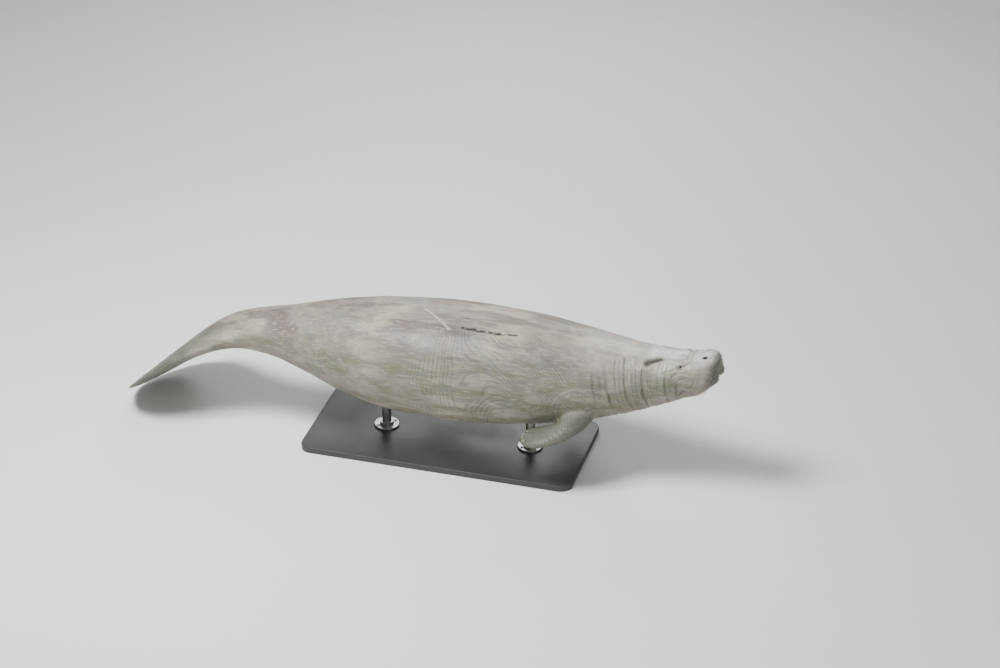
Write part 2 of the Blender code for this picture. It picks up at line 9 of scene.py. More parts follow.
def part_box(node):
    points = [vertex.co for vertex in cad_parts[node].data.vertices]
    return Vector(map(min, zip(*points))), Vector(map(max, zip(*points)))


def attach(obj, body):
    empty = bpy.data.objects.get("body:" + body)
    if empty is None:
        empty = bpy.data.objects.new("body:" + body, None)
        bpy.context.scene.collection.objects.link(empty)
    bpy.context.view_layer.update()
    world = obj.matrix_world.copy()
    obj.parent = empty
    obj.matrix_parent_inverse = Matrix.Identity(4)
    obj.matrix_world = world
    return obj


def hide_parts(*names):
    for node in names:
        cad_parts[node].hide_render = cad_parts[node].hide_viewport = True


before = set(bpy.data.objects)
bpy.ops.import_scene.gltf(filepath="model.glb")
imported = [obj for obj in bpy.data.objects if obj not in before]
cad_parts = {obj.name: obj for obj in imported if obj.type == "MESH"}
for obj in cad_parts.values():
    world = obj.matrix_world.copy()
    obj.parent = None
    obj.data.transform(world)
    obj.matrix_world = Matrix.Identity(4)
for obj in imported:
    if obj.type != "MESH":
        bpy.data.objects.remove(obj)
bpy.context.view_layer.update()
print("frame loaded")


# Hand tools

def deselect():
    bpy.ops.object.select_all(action="DESELECT")


def pick(piece):
    deselect()
    piece.select_set(True)
    bpy.context.view_layer.objects.active = piece


def applyModifier(piece, kind, **values):
    pick(piece)
    modifier = piece.modifiers.new(kind.title(), kind)
    for name, value in values.items():
        setattr(modifier, name, value)
    bpy.ops.object.modifier_apply(modifier=modifier.name)


def duplicateNode(name):
    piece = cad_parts[name].copy()
    piece.data = piece.data.copy()
    piece.parent = None
    for key in list(piece.keys()):
        del piece[key]
    bpy.context.scene.collection.objects.link(piece)
    return piece


def joinPieces(pieces, name):
    deselect()
    for piece in pieces:
        piece.select_set(True)
    bpy.context.view_layer.objects.active = pieces[0]
    bpy.ops.object.join()
    joined = bpy.context.active_object
    joined.name = joined.data.name = name
    return joined


def corners(piece):
    points = np.empty(len(piece.data.vertices) * 3)
    piece.data.vertices.foreach_get("co", points)
    return points.reshape(-1, 3)


def outwards(piece):
    normals = np.empty(len(piece.data.vertices) * 3)
    piece.data.vertices.foreach_get("normal", normals)
    return normals.reshape(-1, 3)


def setCorners(piece, points):
    piece.data.vertices.foreach_set("co", points.ravel())
    piece.data.update()


def storeValues(piece, name, values):
    layer = piece.data.attributes.new(name, "FLOAT", "POINT")
    layer.data.foreach_set("value", np.asarray(values, np.float32))


def surfaceTree(piece):
    points = corners(piece)
    tree = BVHTree.FromPolygons(points.tolist(), [tuple(polygon.vertices) for polygon in piece.data.polygons])
    return tree, points.min(0), points.max(0)


def farFrom(surface, points, reach):
    # distance of each point from a surface, up to the reach
    tree, low, high = surface
    distances = np.full(len(points), float(reach))
    near = np.all((points > low - reach) & (points < high + reach), axis=1)
    for i in np.flatnonzero(near):
        found = tree.find_nearest(points[i], reach)
        if found[0] is not None:
            distances[i] = found[3]
    return distances


def shadeSoft(piece, angle):
    pick(piece)
    bpy.ops.object.shade_smooth_by_angle(angle=math.radians(angle))


def boxOf(name):
    return [np.array(corner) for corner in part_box(name)]


def middleOf(name):
    low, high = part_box(name)
    return np.array((low + high) / 2)


# Curves and fields over the body

def ramp(value, start, end):
    t = np.clip((value - start) / (end - start), 0, 1)
    return t * t * (3 - 2 * t)


def bell(value, middle, half):
    return np.exp(-(((value - middle) / half) ** 2))


def swell(value, height, middle, half):
    return height * bell(value, middle, half)


def window(value, start, end, soft):
    return ramp(value, start - soft, start + soft) * (1 - ramp(value, end - soft, end + soft))


def atLeast(least, share):
    return least + (1 - least) * share


def dots(first, second):
    return np.einsum("ij,ij->i", first, second)


def unit(vectors):
    return vectors / np.linalg.norm(vectors, axis=1)[:, None]


def softNoise(points, strength, size, seed):
    # between minus and plus the strength, from a turned lattice of random values
    draw = np.random.default_rng(seed)
    side = 32
    lattice = draw.uniform(-1, 1, (side, side, side))
    at = points @ np.linalg.qr(draw.normal(size=(3, 3)))[0] / size
    cell = np.floor(at).astype(int)
    t = at - cell
    t = t * t * (3 - 2 * t)
    total = np.zeros(len(points))
    for corner in np.ndindex(2, 2, 2):
        weight = np.prod(np.where(corner, t, 1 - t), axis=1)
        x, y, z = ((cell + corner) % side).T
        total += weight * lattice[x, y, z]
    return strength * total


def smoothCurve(knots):
    # through every knot, and never past a peak
    x, y = np.array(knots, float).T
    step = np.diff(x)
    slope = np.diff(y) / step
    before = step[:-1] + 2 * step[1:]
    after = 2 * step[:-1] + step[1:]
    same = slope[:-1] * slope[1:] > 0
    safe = [np.where(same, part, 1.0) for part in (slope[:-1], slope[1:])]
    inner = np.where(same, (before + after) / (before / safe[0] + after / safe[1]), 0.0)
    tangent = np.concatenate(([slope[0]], inner, [slope[-1]]))

    def value(at):
        at = np.clip(at, x[0], x[-1])
        i = np.clip(np.searchsorted(x, at, side="right") - 1, 0, len(step) - 1)
        t = (at - x[i]) / step[i]
        start = (1 + 2 * t) * (1 - t) ** 2 * y[i] + t * (1 - t) ** 2 * step[i] * tangent[i]
        end = t * t * (3 - 2 * t) * y[i + 1] + t * t * (t - 1) * step[i] * tangent[i + 1]
        return start + end

    return value


# The spine carries the body's own directions. Attitude rows: distance from the snout in metres,
# nose up, turn to the right and roll to the left in degrees.
spine = dict(
    length=3.14, step=0.005, snoutX=1.33, trunkHeight=0.46, trunkMiddle=1.56, balancePoint=1.30,
    lean=0.35, leanEnd=0.17, firstGuess=1.05, rounds=7, ahead=0.06,
    attitude=(
        (0.00, 18.5, 5, 0), (0.20, 17.5, 5, 0), (0.35, 14, 4, 0), (0.50, 10, 3, 0), (0.70, 6, 2, 0),
        (0.90, 3.5, 1, 0), (1.50, 0.5, 0, 0), (1.80, -2, 0, 0), (2.00, -2, 0, 0), (2.20, 1, 1, 1),
        (2.35, 9, 2, 3), (2.50, 25, 3, 6), (2.65, 38, 3, 9), (2.85, 42, 3, 12), (3.14, 33, 3, 14),
    ),
)
attitudeCurves = [
    smoothCurve([(row[0], math.radians(row[column])) for row in spine["attitude"]]) for column in (1, 2, 3)
]


def spineDirections(s):
    pitch, yaw, roll = (curve(s) for curve in attitudeCurves)
    forward = np.stack((np.cos(pitch) * np.cos(yaw), -np.cos(pitch) * np.sin(yaw), np.sin(pitch)), -1)
    up = np.stack((-np.sin(pitch) * np.cos(yaw), np.sin(pitch) * np.sin(yaw), np.cos(pitch)), -1)
    left = np.cross(up, forward)
    cosine, sine = np.cos(roll)[..., None], np.sin(roll)[..., None]
    return forward, left * cosine - up * sine, up * cosine + left * sine


def laySpine():
    count = round(spine["length"] / spine["step"])
    forward = spineDirections((np.arange(count) + 0.5) * spine["step"])[0]
    points = np.vstack((np.zeros(3), -np.cumsum(forward * spine["step"], axis=0)))
    points[:, 0] += spine["snoutX"]
    points[:, 1] -= points[round(spine["balancePoint"] / spine["step"]), 1]
    points[:, 2] += spine["trunkHeight"] - points[round(spine["trunkMiddle"] / spine["step"]), 2]
    return points


spinePoints = laySpine()
stations = np.arange(len(spinePoints)) * spine["step"]
spineTable = np.hstack((spinePoints, *spineDirections(stations)))


def spineFrame(s):
    # place, forward, left and up; the spine runs on straight ahead of the snout
    at = np.clip(s, 0, spine["length"] - spine["step"] / 100) / spine["step"]
    i = at.astype(int)
    share = (at - i)[..., None]
    row = spineTable[i] * (1 - share) + spineTable[i + 1] * share
    place, forward, left, up = row[..., 0:3], row[..., 3:6], row[..., 6:9], row[..., 9:12]
    return place - forward * np.minimum(s, 0)[..., None], forward, left, up


def leanAt(s):
    # near the snout the sections lean forward as they rise
    return spine["lean"] * (1 - ramp(s, 0, spine["leanEnd"]))


def bodyPlace(points):
    # distance from the snout, offset to the left, height above the spine and angle of each point
    s = np.clip((spine["snoutX"] - points[:, 0]) * spine["firstGuess"], 0, spine["length"])
    for _ in range(spine["rounds"]):
        place, forward, left, up = spineFrame(s)
        offset = points - place
        above = dots(offset, up)
        s = np.clip(s - dots(offset, forward) + leanAt(s) * above, -spine["ahead"], spine["length"])
    across = dots(offset, left)
    return dict(s=s, across=across, above=above, angle=np.degrees(np.arctan2(above, np.abs(across))))


def onBody(s, across, above):
    place, forward, left, up = spineFrame(np.array(float(s)))
    return place + left * across + up * above + forward * (leanAt(s) * above)


# Skin: the flesh nodes welded into one closed form

hide = dict(
    body=("head", "neck", "chest", "belly", "tail_stock", "tail_paddle"),
    jaw="lower_jaw",
    limbs=("flipper_left", "flipper_right"),
    cuts=(0.45, 0.62, 1.25, 1.95, 2.32), capSlack=0.0004, touch=0.00001, weld=0.0005, quadAngle=40,
    sharpAngle=38, jawLift=0.0036, rootReach=0.0015, rootSink=0.014, voxel=0.003,
)


def weld(reach):
    bpy.ops.mesh.select_all(action="SELECT")
    bpy.ops.mesh.remove_doubles(threshold=reach)


def makeQuads():
    angle = math.radians(hide["quadAngle"])
    bpy.ops.mesh.tris_convert_to_quads(face_threshold=angle, shape_threshold=angle)


def weldBody():
    # the faces between the nodes go, found by the places of the cuts
    body = joinPieces([duplicateNode(name) for name in hide["body"]], "hide")
    bpy.ops.object.mode_set(mode="EDIT")
    weld(hide["touch"])
    bpy.ops.mesh.select_all(action="DESELECT")
    bpy.ops.object.mode_set(mode="OBJECT")
    s = bodyPlace(corners(body))["s"]
    for polygon in body.data.polygons:
        here = s[list(polygon.vertices)]
        polygon.select = any(np.abs(here - cut).max() < hide["capSlack"] for cut in hide["cuts"])
    bpy.ops.object.mode_set(mode="EDIT")
    bpy.ops.mesh.delete(type="FACE")
    weld(hide["weld"])
    makeQuads()
    bpy.ops.object.mode_set(mode="OBJECT")
    return body


def cleanCopy(name):
    piece = duplicateNode(name)
    pick(piece)
    bpy.ops.object.mode_set(mode="EDIT")
    weld(hide["touch"])
    makeQuads()
    bpy.ops.object.mode_set(mode="OBJECT")
    return piece


def roundOff(piece, levels):
    # subdivided, with its sharp edges kept
    pick(piece)
    bpy.ops.object.mode_set(mode="EDIT")
    bpy.ops.mesh.select_mode(type="EDGE")
    bpy.ops.mesh.select_all(action="DESELECT")
    bpy.ops.mesh.edges_select_sharp(sharpness=math.radians(hide["sharpAngle"]))
    bpy.ops.transform.edge_crease(value=1)
    bpy.ops.mesh.select_mode(type="VERT")
    bpy.ops.object.mode_set(mode="OBJECT")
    applyModifier(piece, "SUBSURF", levels=levels, render_levels=levels)


def plantLimb(name):
    # the points of its root are pushed into the body
    limb = cleanCopy(name)
    points = corners(limb)
    root = farFrom(bodySurface, points, hide["rootReach"]) < hide["rootReach"]
    toSpine = unit(spineFrame(bodyPlace(points)["s"])[0] - points)
    points[root] += toSpine[root] * hide["rootSink"]
    setCorners(limb, points)
    roundOff(limb, 1)
    return limb


body = weldBody()
roundOff(body, 2)
bodySurface = surfaceTree(body)

jaw = cleanCopy(hide["jaw"])
jawPoints = corners(jaw)
jawPoints += spineDirections(bodyPlace(jawPoints)["s"])[2] * hide["jawLift"]
setCorners(jaw, jawPoints)
roundOff(jaw, 1)
jawSurface = surfaceTree(jaw)

limbs = [plantLimb(name) for name in hide["limbs"]]
limbSurfaces = [surfaceTree(limb) for limb in limbs]
skin = joinPieces([body, jaw, *limbs], "skin")
applyModifier(skin, "REMESH", mode="VOXEL", voxel_size=hide["voxel"])
print("skin remeshed,", len(skin.data.vertices), "points")


# Smoothing, weighted so that the trunk loses its facets and the face keeps its forms.
# A noise is given as strength, size and seed, a swelling as height, middle and half width.

nostril = dict(
    place=(0.060, 0.041, 0.076), half=(0.0145, 0.0110), keep=0.024, uneven=(0.08, 0.02, 35), reach=0.02,
    rim=(0.0024, 1.35, 0.42), rimBehind=0.35, hole=(0.75, 1.12),
)
eye = dict(
    keep=0.020, squash=(0.88, 1.28), uneven=(0.13, 0.022, 33), reach=0.04, fade=(0.026, 0.052), lean=0.5,
    lid=(0.0020, 0.0120, 0.0030), furrow=(0.0022, 0.0180, 0.0026), furrowAhead=0.35,
    farFurrows=((0.0018, 0.0262, 0.0026, 2), (0.0012, 0.0345, 0.0026, 3)),
    spokes=2.7, spokeWander=(0.7, 0.016, 31), spokeSharpness=0.6, spokeDepth=0.0014,
    spokeBand=(0.0105, 0.031, 0.006), shades=((0.35, 0.0180, 0.004), (0.8, 0.0085, 0.003)),
)
soften = dict(
    weightSteps=20, trunk=(0.28, 0.46), limbClear=(0.002, 0.02), features=(0.2, 0.6), featureShare=0.85,
    rootReach=0.045, rootBlend=0.022, bodyReach=1.0, lipEnd=(0.08, 0.13), lipTop=(-0.045, -0.010),
    factor=0.5, passes=dict(trunk=60, face=10, roots=160, lips=18),
)
eyePlaces = {side: middleOf(f"eye_{side}") for side in ("left", "right")}
nostrilPlaces = [onBody(nostril["place"][0], side * nostril["place"][1], nostril["place"][2])
                 for side in (1, -1)]


def weightBy(piece, name, values):
    group = piece.vertex_groups.new(name=name)
    steps = soften["weightSteps"]
    levels = np.round(np.clip(values, 0, 1) * steps).astype(int)
    for level in range(1, steps + 1):
        chosen = np.flatnonzero(levels == level)
        if len(chosen):
            group.add(chosen.tolist(), level / steps, "REPLACE")


def nearAny(points, places, reach):
    return np.max([bell(np.linalg.norm(points - spot, axis=1), 0, reach) for spot in places], axis=0)


points = corners(skin)
place = bodyPlace(points)
toLimb = np.minimum(*[farFrom(surface, points, soften["rootReach"]) for surface in limbSurfaces])
nearLimb = toLimb < soften["rootReach"]
toBody = np.zeros(len(points))
toBody[nearLimb] = farFrom(bodySurface, points[nearLimb], soften["bodyReach"])
features = np.maximum(nearAny(points, eyePlaces.values(), eye["keep"]),
                      nearAny(points, nostrilPlaces, nostril["keep"]))
weights = dict(
    trunk=ramp(place["s"], *soften["trunk"]) * (1 - ramp(toBody, *soften["limbClear"])),
    face=1 - soften["featureShare"] * ramp(features, *soften["features"]),
    roots=bell(toLimb, 0, soften["rootBlend"]) * bell(toBody, 0, soften["rootBlend"]),
    lips=(1 - ramp(place["s"], *soften["lipEnd"])) * (1 - ramp(place["above"], *soften["lipTop"])),
)
for name, weight in weights.items():
    weightBy(skin, name, weight)
for name, passes in soften["passes"].items():
    applyModifier(skin, "SMOOTH", factor=soften["factor"], iterations=passes, vertex_group=name)
print("skin softened")


# Relief: folds as lines of (distance, angle) places over the skin, then depth, half width and darkness, which
# is painted shade in the fold.
# An angle is 90 on the back, 0 at the side and -90 at the belly.
folds = (
    (((0.252, 61), (0.285, 54), (0.318, 47)), 0.0075, 0.0105, 1.0),
    (((0.262, 66), (0.300, 60)), 0.0018, 0.0040, 0.3),
    (((0.284, 46), (0.330, 38)), 0.0022, 0.0044, 0.4),
    (((0.116, 51), (0.137, 43), (0.149, 38)), 0.0042, 0.0044, 1.0),
    (((0.170, 34), (0.196, 27), (0.232, 24)), 0.0028, 0.0036, 0.6),
    (((0.172, 41), (0.196, 47), (0.222, 47)), 0.0022, 0.0034, 0.4),
    (((0.126, 24), (0.150, 19), (0.180, 19), (0.204, 12)), 0.0026, 0.0040, 0.5),
    (((0.140, 6), (0.172, 2), (0.206, -6)), 0.0018, 0.0040, 0.3),
    (((0.212, 40), (0.226, 20), (0.234, -4)), 0.0020, 0.0042, 0.4),
    (((0.252, 44), (0.262, 24), (0.268, 4)), 0.0022, 0.0044, 0.4),
    (((0.144, 76), (0.166, 86)), 0.0030, 0.0034, 0.6),
    (((0.092, 90), (0.089, 62), (0.080, 26)), 0.0014, 0.0036, 0.2),
    (((0.104, 90), (0.101, 60), (0.090, 20)), 0.0014, 0.0034, 0.2),
    (((0.116, 90), (0.112, 60), (0.100, 14)), 0.0018, 0.0038, 0.2),
    (((0.136, 90), (0.133, 60), (0.118, 47)), 0.0028, 0.0048, 0.3),
    (((0.100, -4), (0.118, -16), (0.146, -22)), 0.0020, 0.0042, 0.3),
    (((0.186, -8), (0.205, -30), (0.216, -55)), 0.0040, 0.0056, 0.6),
    (((0.232, 8), (0.248, -22), (0.262, -60)), 0.0030, 0.0060, 0.5),
    (((0.066, -46), (0.060, -90)), 0.0022, 0.0044, 0.3),
    (((0.094, -48), (0.088, -90)), 0.0026, 0.0050, 0.4),
    (((0.142, -50), (0.134, -90)), 0.0024, 0.0052, 0.4),
    (((0.190, -60), (0.182, -90)), 0.0024, 0.0056, 0.4),
    (((0.300, 30), (0.308, -20), (0.318, -90)), 0.0020, 0.0044, 0.3),
    (((0.338, 34), (0.350, -10), (0.362, -90)), 0.0040, 0.0050, 0.8),
    (((0.366, 48), (0.372, 8), (0.380, -50)), 0.0016, 0.0040, 0.3),
    (((0.388, 30), (0.392, -20), (0.398, -90)), 0.0026, 0.0044, 0.5),
    (((0.408, 52), (0.410, 0), (0.412, -90)), 0.0016, 0.0040, 0.3),
    (((0.430, 56), (0.426, 0), (0.424, -90)), 0.0036, 0.0050, 0.8),
    (((0.450, 50), (0.446, 0), (0.444, -90)), 0.0016, 0.0042, 0.3),
    (((0.474, 48), (0.468, 0), (0.462, -90)), 0.0024, 0.0046, 0.5),
    (((0.520, 42), (0.508, 0), (0.504, -90)), 0.0034, 0.0056, 0.7),
    (((0.546, 34), (0.536, 0), (0.530, -90)), 0.0016, 0.0052, 0.3),
    (((0.576, 30), (0.566, -90)), 0.0024, 0.0060, 0.5),
)
# Folds on the front of the muzzle: lines of (offset from the middle, height above the spine) places
frontFolds = (
    (((0.000, 0.036), (0.040, 0.029), (0.070, 0.002), (0.083, -0.036), (0.080, -0.070)), 0.0038, 0.0062),
    (((0.000, 0.012), (0.030, 0.007), (0.054, -0.014), (0.063, -0.040)), 0.0020, 0.0046),
    (((0.029, -0.024), (0.035, -0.052), (0.031, -0.086)), 0.0018, 0.0044),
    (((0.055, -0.044), (0.058, -0.066), (0.052, -0.090)), 0.0016, 0.0042),
    (((0.000, 0.060), (0.030, 0.056), (0.060, 0.040)), 0.0016, 0.0050),
)
relief = dict(
    skinRadius=0.115, drift=(0.005, 0.045, 7), driftAlong=0.7, fade=0.72, fadeNoise=(0.45, 0.035, 17),
    bank=0.45, bankAway=2.1, shadeSpread=0.5, muzzleFront=(0.022, 0.050), frontDrift=0.5, frontShade=0.35,
    padAcross=(0.044, 0.026), padAbove=(-0.044, 0.034), padBulge=0.0055,
    cleftDrift=0.3, cleftHalf=0.0085, cleftTop=(-0.030, 0.012), cleftDepth=0.0060, cleftShade=0.6,
    fineWave=0.0165, wave=0.047, waveDepth=0.0016, waveSharpness=0.8, waveStart=(0.44, 0.60), waveShade=0.2,
    waveShare=0.5, waveNoise=(0.9, 0.11, 6), waveWander=((0.030, 0.19, 3), (0.007, 0.05, 4)),
    flankRadius=0.27, slant=0.72, slantSpan=(0.52, 1.12, 0.16), whorl=(0.492, 0.96), whorlRadius=0.19,
    wrinkledSpans=((1.0, (0.56, 1.42, 0.13), (-55, 60, 13)), (0.8, (0.28, 0.62, 0.06), (-95, 66, 12))),
    wrinkledElsewhere=0.16, elsewhereStart=(0.2, 0.4),
    cheekDepth=0.0010, cheekSpan=(0.03, 0.42, 0.03), cheekTop=(40, 66), cheekAbove=0.45,
    puckers=((1.0, 0.013, 8), (0.6, 0.007, 9)), puckerSharpness=5,
    shoulder=(0.665, 0.205, -0.105), shoulderWander=(0.007, 0.05, 14), ringWave=0.024, ringDepth=0.0024,
    ringSharpness=0.7, ringShade=0.4, ringShare=0.75, ringNoise=(0.5, 0.04, 15), axilla=(0.085, 0.165, 0.02),
    axillaStart=(0.55, 0.66), elbow=(0.09, 0.20, 0.03), elbowShare=0.7,
    uneven=((1.0, 0.23, 11), (0.45, 0.09, 12)), unevenDepth=0.0026, unevenStart=(0.30, 0.60),
    unevenEnd=(2.2, 2.5), unevenLess=0.7, sideDip=0.004, sideHalf=16, sideSpan=(1.95, 2.28, 0.08),
    lipHalf=0.0032, lipReach=0.012, lipEnd=0.20, lipDepth=0.0026, lipShade=0.95, limbEdge=(0.004, 0.030),
)


def grooves(phase, sharpness):
    # 0 on the crests and -1 in the narrow valleys, which lie at whole numbers
    return np.abs(np.sin(np.pi * phase)) ** sharpness - 1


def lineDistance(x, y, knots):
    # how far each place (x, y) is from a line through the knots
    best = np.full(len(x), np.inf)
    for start, end in zip(knots, knots[1:]):
        run = np.subtract(end, start)
        t = np.clip(((x - start[0]) * run[0] + (y - start[1]) * run[1]) / (run @ run), 0, 1)
        best = np.minimum(best, np.hypot(x - start[0] - t * run[0], y - start[1] - t * run[1]))
    return best


def onSkin(knots):
    # (distance, angle) places laid out flat, in metres
    return [(along, math.radians(turn) * relief["skinRadius"]) for along, turn in knots]


def wrinkled(place):
    # where the transverse wrinkles run deep: flank, shoulder and neck
    spans = [share * window(place["s"], *along) * window(place["angle"], *around)
             for share, along, around in relief["wrinkledSpans"]]
    elsewhere = relief["wrinkledElsewhere"] * ramp(place["s"], *relief["elsewhereStart"])
    return np.clip(np.maximum(*spans) + elsewhere, 0, 1)


def wavePhase(points, place):
    # counts the fine transverse wrinkles back from the snout; then the distance from the neck's whorl
    s, angle = place["s"], place["angle"]
    drop = np.radians(90 - angle) * relief["flankRadius"]
    slanted = s + relief["slant"] * window(s, *relief["slantSpan"]) * drop
    slanted += sum(softNoise(points, *noise) for noise in relief["waveWander"])
    along, turn = relief["whorl"]
    fromWhorl = np.hypot(s - along, (np.radians(angle) - turn) * relief["whorlRadius"])
    return slanted / relief["fineWave"], fromWhorl


def localFrame(centre):
    # axes on the skin at a face feature: along the head, up over it, and outward
    s = bodyPlace(centre[None])["s"]
    outward = centre - spineFrame(s)[0][0]
    along = spineDirections(s)[0][0]
    outward = outward - along * (outward @ along)
    outward /= np.linalg.norm(outward)
    upward = np.cross(outward, along)
    return along, upward * np.sign(upward[2]), outward


def offsetsFrom(points, centre):
    offset = points - centre
    return [offset @ axis for axis in localFrame(centre)]


def eyeRelief(points, centre):
    # the lids, the furrows behind them and short wrinkles that run out from the eye
    x, y, out = offsetsFrom(points, centre)
    turn = np.arctan2(y, x)
    radius = np.hypot(x * eye["squash"][0], y * eye["squash"][1]) * (1 + softNoise(points, *eye["uneven"]))
    near = (np.abs(out) < eye["reach"]) * (1 - ramp(radius, *eye["fade"]))
    behind = 0.5 - 0.5 * np.cos(turn - eye["lean"])
    spokes = grooves(turn * eye["spokes"] + softNoise(points, *eye["spokeWander"]), eye["spokeSharpness"])
    height = swell(radius, *eye["lid"]) - swell(radius, *eye["furrow"]) * atLeast(eye["furrowAhead"], behind)
    for depth, middle, half, power in eye["farFurrows"]:
        height -= swell(radius, depth, middle, half) * behind ** power
    height += eye["spokeDepth"] * spokes * window(radius, *eye["spokeBand"])
    # painted shade in the furrows round the eye
    dark = sum(swell(radius, *shade) for shade in eye["shades"])
    return height * near, near * dark


def nostrilRelief(points, centre):
    x, y, out = offsetsFrom(points, centre)
    halfLength, halfHeight = nostril["half"]
    around = np.hypot(x / halfLength, y / halfHeight) * (1 + softNoise(points, *nostril["uneven"]))
    near = np.abs(out) < nostril["reach"]
    infront = 0.5 + 0.5 * x / np.hypot(x, y)
    height = swell(around, *nostril["rim"]) * atLeast(nostril["rimBehind"], infront)
    # the dark part is painted shade inside the nostril hole
    return height * near, near * (1 - ramp(around, *nostril["hole"]))


def reliefOf(points, place, limb):
    s, angle, across, above = (place[key] for key in ("s", "angle", "across", "above"))
    height = np.zeros(len(s))
    # dark is painted shade in the folds, the muzzle cleft, the wrinkle valleys, the shoulder rings, the mouth
    # slit, the eye furrows and the nostril holes
    dark = np.zeros(len(s))
    drift = softNoise(points, *relief["drift"])
    fade = relief["fade"] + softNoise(points, *relief["fadeNoise"])
    around = np.radians(angle) * relief["skinRadius"]
    for knots, depth, half, darkness in folds:
        line = lineDistance(s + drift * relief["driftAlong"], around + drift, onSkin(knots))
        groove = bell(line, 0, half) * fade
        height += depth * (swell(line, relief["bank"], half * relief["bankAway"], half) * fade - groove)
        spread = half * (1 + relief["shadeSpread"] * darkness)
        dark = np.maximum(dark, swell(line, darkness, 0, spread) * fade)

    front = 1 - ramp(s, *relief["muzzleFront"])
    pads = bell(np.abs(across), *relief["padAcross"]) * bell(above, *relief["padAbove"])
    cleft = bell(across + relief["cleftDrift"] * drift, 0, relief["cleftHalf"])
    cleft *= 1 - ramp(above, *relief["cleftTop"])
    height += front * (relief["padBulge"] * pads - relief["cleftDepth"] * cleft)
    dark = np.maximum(dark, relief["cleftShade"] * front * cleft)
    frontDrift = drift * relief["frontDrift"]
    for knots, depth, half in frontFolds:
        line = lineDistance(np.abs(across) + frontDrift, above + frontDrift, knots)
        groove = bell(line, 0, half) * fade * front
        height -= depth * groove
        dark = np.maximum(dark, relief["frontShade"] * groove)

    waves = wavePhase(points, place)[0] * relief["fineWave"] / relief["wave"]
    share = np.clip(relief["waveShare"] + softNoise(points, *relief["waveNoise"]), 0, 1)
    strength = wrinkled(place) * share * (1 - limb)
    wave = grooves(waves, relief["waveSharpness"]) * strength * ramp(s, *relief["waveStart"])
    height += relief["waveDepth"] * wave
    dark = np.maximum(dark, -relief["waveShade"] * wave)

    face = window(s, *relief["cheekSpan"]) * (1 - limb)
    pucker = sum(np.abs(softNoise(points, *noise)) for noise in relief["puckers"])
    lower = atLeast(relief["cheekAbove"], 1 - ramp(angle, *relief["cheekTop"]))
    height -= relief["cheekDepth"] * np.exp(-pucker * relief["puckerSharpness"]) * face * lower

    fromShoulder = np.stack((s, np.abs(across), above), -1) - relief["shoulder"]
    reach = np.linalg.norm(fromShoulder, axis=1) + softNoise(points, *relief["shoulderWander"])
    share = np.clip(relief["ringShare"] + softNoise(points, *relief["ringNoise"]), 0, 1)
    ring = grooves(reach / relief["ringWave"], relief["ringSharpness"]) * share
    axilla = window(reach, *relief["axilla"]) * (1 - limb) * ramp(s, *relief["axillaStart"])
    elbow = window(reach, *relief["elbow"]) * limb * relief["elbowShare"]
    height += relief["ringDepth"] * ring * (axilla + elbow)
    dark = np.maximum(dark, -relief["ringShade"] * ring * (axilla + elbow))

    uneven = sum(softNoise(points, *noise) for noise in relief["uneven"])
    less = 1 - ramp(s, *relief["unevenEnd"]) * relief["unevenLess"]
    height += relief["unevenDepth"] * uneven * ramp(s, *relief["unevenStart"]) * less * (1 - limb)
    height -= swell(angle, relief["sideDip"], 0, relief["sideHalf"]) * window(s, *relief["sideSpan"])
    lips = bell(toJaw, 0, relief["lipHalf"]) * bell(toBody, 0, relief["lipHalf"]) * (s < relief["lipEnd"])
    height -= relief["lipDepth"] * lips
    dark = np.maximum(dark, relief["lipShade"] * lips)
    for featureRelief, centres in ((eyeRelief, eyePlaces.values()), (nostrilRelief, nostrilPlaces)):
        for centre in centres:
            featureHeight, featureDark = featureRelief(points, centre)
            height += featureHeight
            dark = np.maximum(dark, featureDark)
    return height, np.clip(dark, 0, 1)


points = corners(skin)
place = bodyPlace(points)
limb = ramp(toBody, *relief["limbEdge"]) * nearLimb
toJaw = farFrom(jawSurface, points, relief["lipReach"])
nearJaw = np.flatnonzero(toJaw < relief["lipReach"])
toBody[nearJaw] = farFrom(bodySurface, points[nearJaw], relief["lipReach"])
height, dark = reliefOf(points, place, limb)
setCorners(skin, points + outwards(skin) * height[:, None])
print("skin sculpted")

# Thinning: the head keeps the finest faces
thin = dict(triangles=194000, headKeep=0.34, headFade=0.62, factor=0.000015)
# the dark values are painted shade of folds and hollows, stored for the material
storeValues(skin, "dark", dark)
storeValues(skin, "limb", limb)
weightBy(skin, "thin", ramp(place["s"], thin["headKeep"], thin["headFade"]))
applyModifier(skin, "DECIMATE", ratio=thin["triangles"] / (2 * len(skin.data.polygons)),
              vertex_group="thin", vertex_group_factor=thin["factor"])
skin.vertex_groups.clear()
print("skin thinned,", len(skin.data.polygons), "faces")


# Materials

def feed(tree, socket, value):
    if isinstance(value, bpy.types.NodeSocket):
        tree.links.new(value, socket)
    else:
        socket.default_value = value


def addNode(tree, kind, inputs=None, **settings):
    made = tree.nodes.new("ShaderNode" + kind)
    for name, value in settings.items():
        setattr(made, name, value)
    for name, value in (inputs or {}).items():
        feed(tree, made.inputs[name], value)
    return made


def calc(tree, operation, *values):
    return addNode(tree, "Math", dict(enumerate(values)), operation=operation).outputs[0]


def mixColour(tree, share, first, second, blend="MIX"):
    made = addNode(tree, "Mix", data_type="RGBA", blend_type=blend)
    feed(tree, made.inputs[0], share)
    for socket, value in ((made.inputs[6], first), (made.inputs[7], second)):
        feed(tree, socket, (*value, 1) if isinstance(value, tuple) else value)
    return made.outputs[2]


def remap(tree, value, start, end, low=0.0, high=1.0, smooth=True):
    kind = "SMOOTHSTEP" if smooth else "LINEAR"
    inputs = {"Value": value, "From Min": start, "From Max": end, "To Min": low, "To Max": high}
    return addNode(tree, "MapRange", inputs, interpolation_type=kind).outputs[0]


def attribute(tree, name):
    return addNode(tree, "Attribute", attribute_name=name, attribute_type="GEOMETRY").outputs["Fac"]


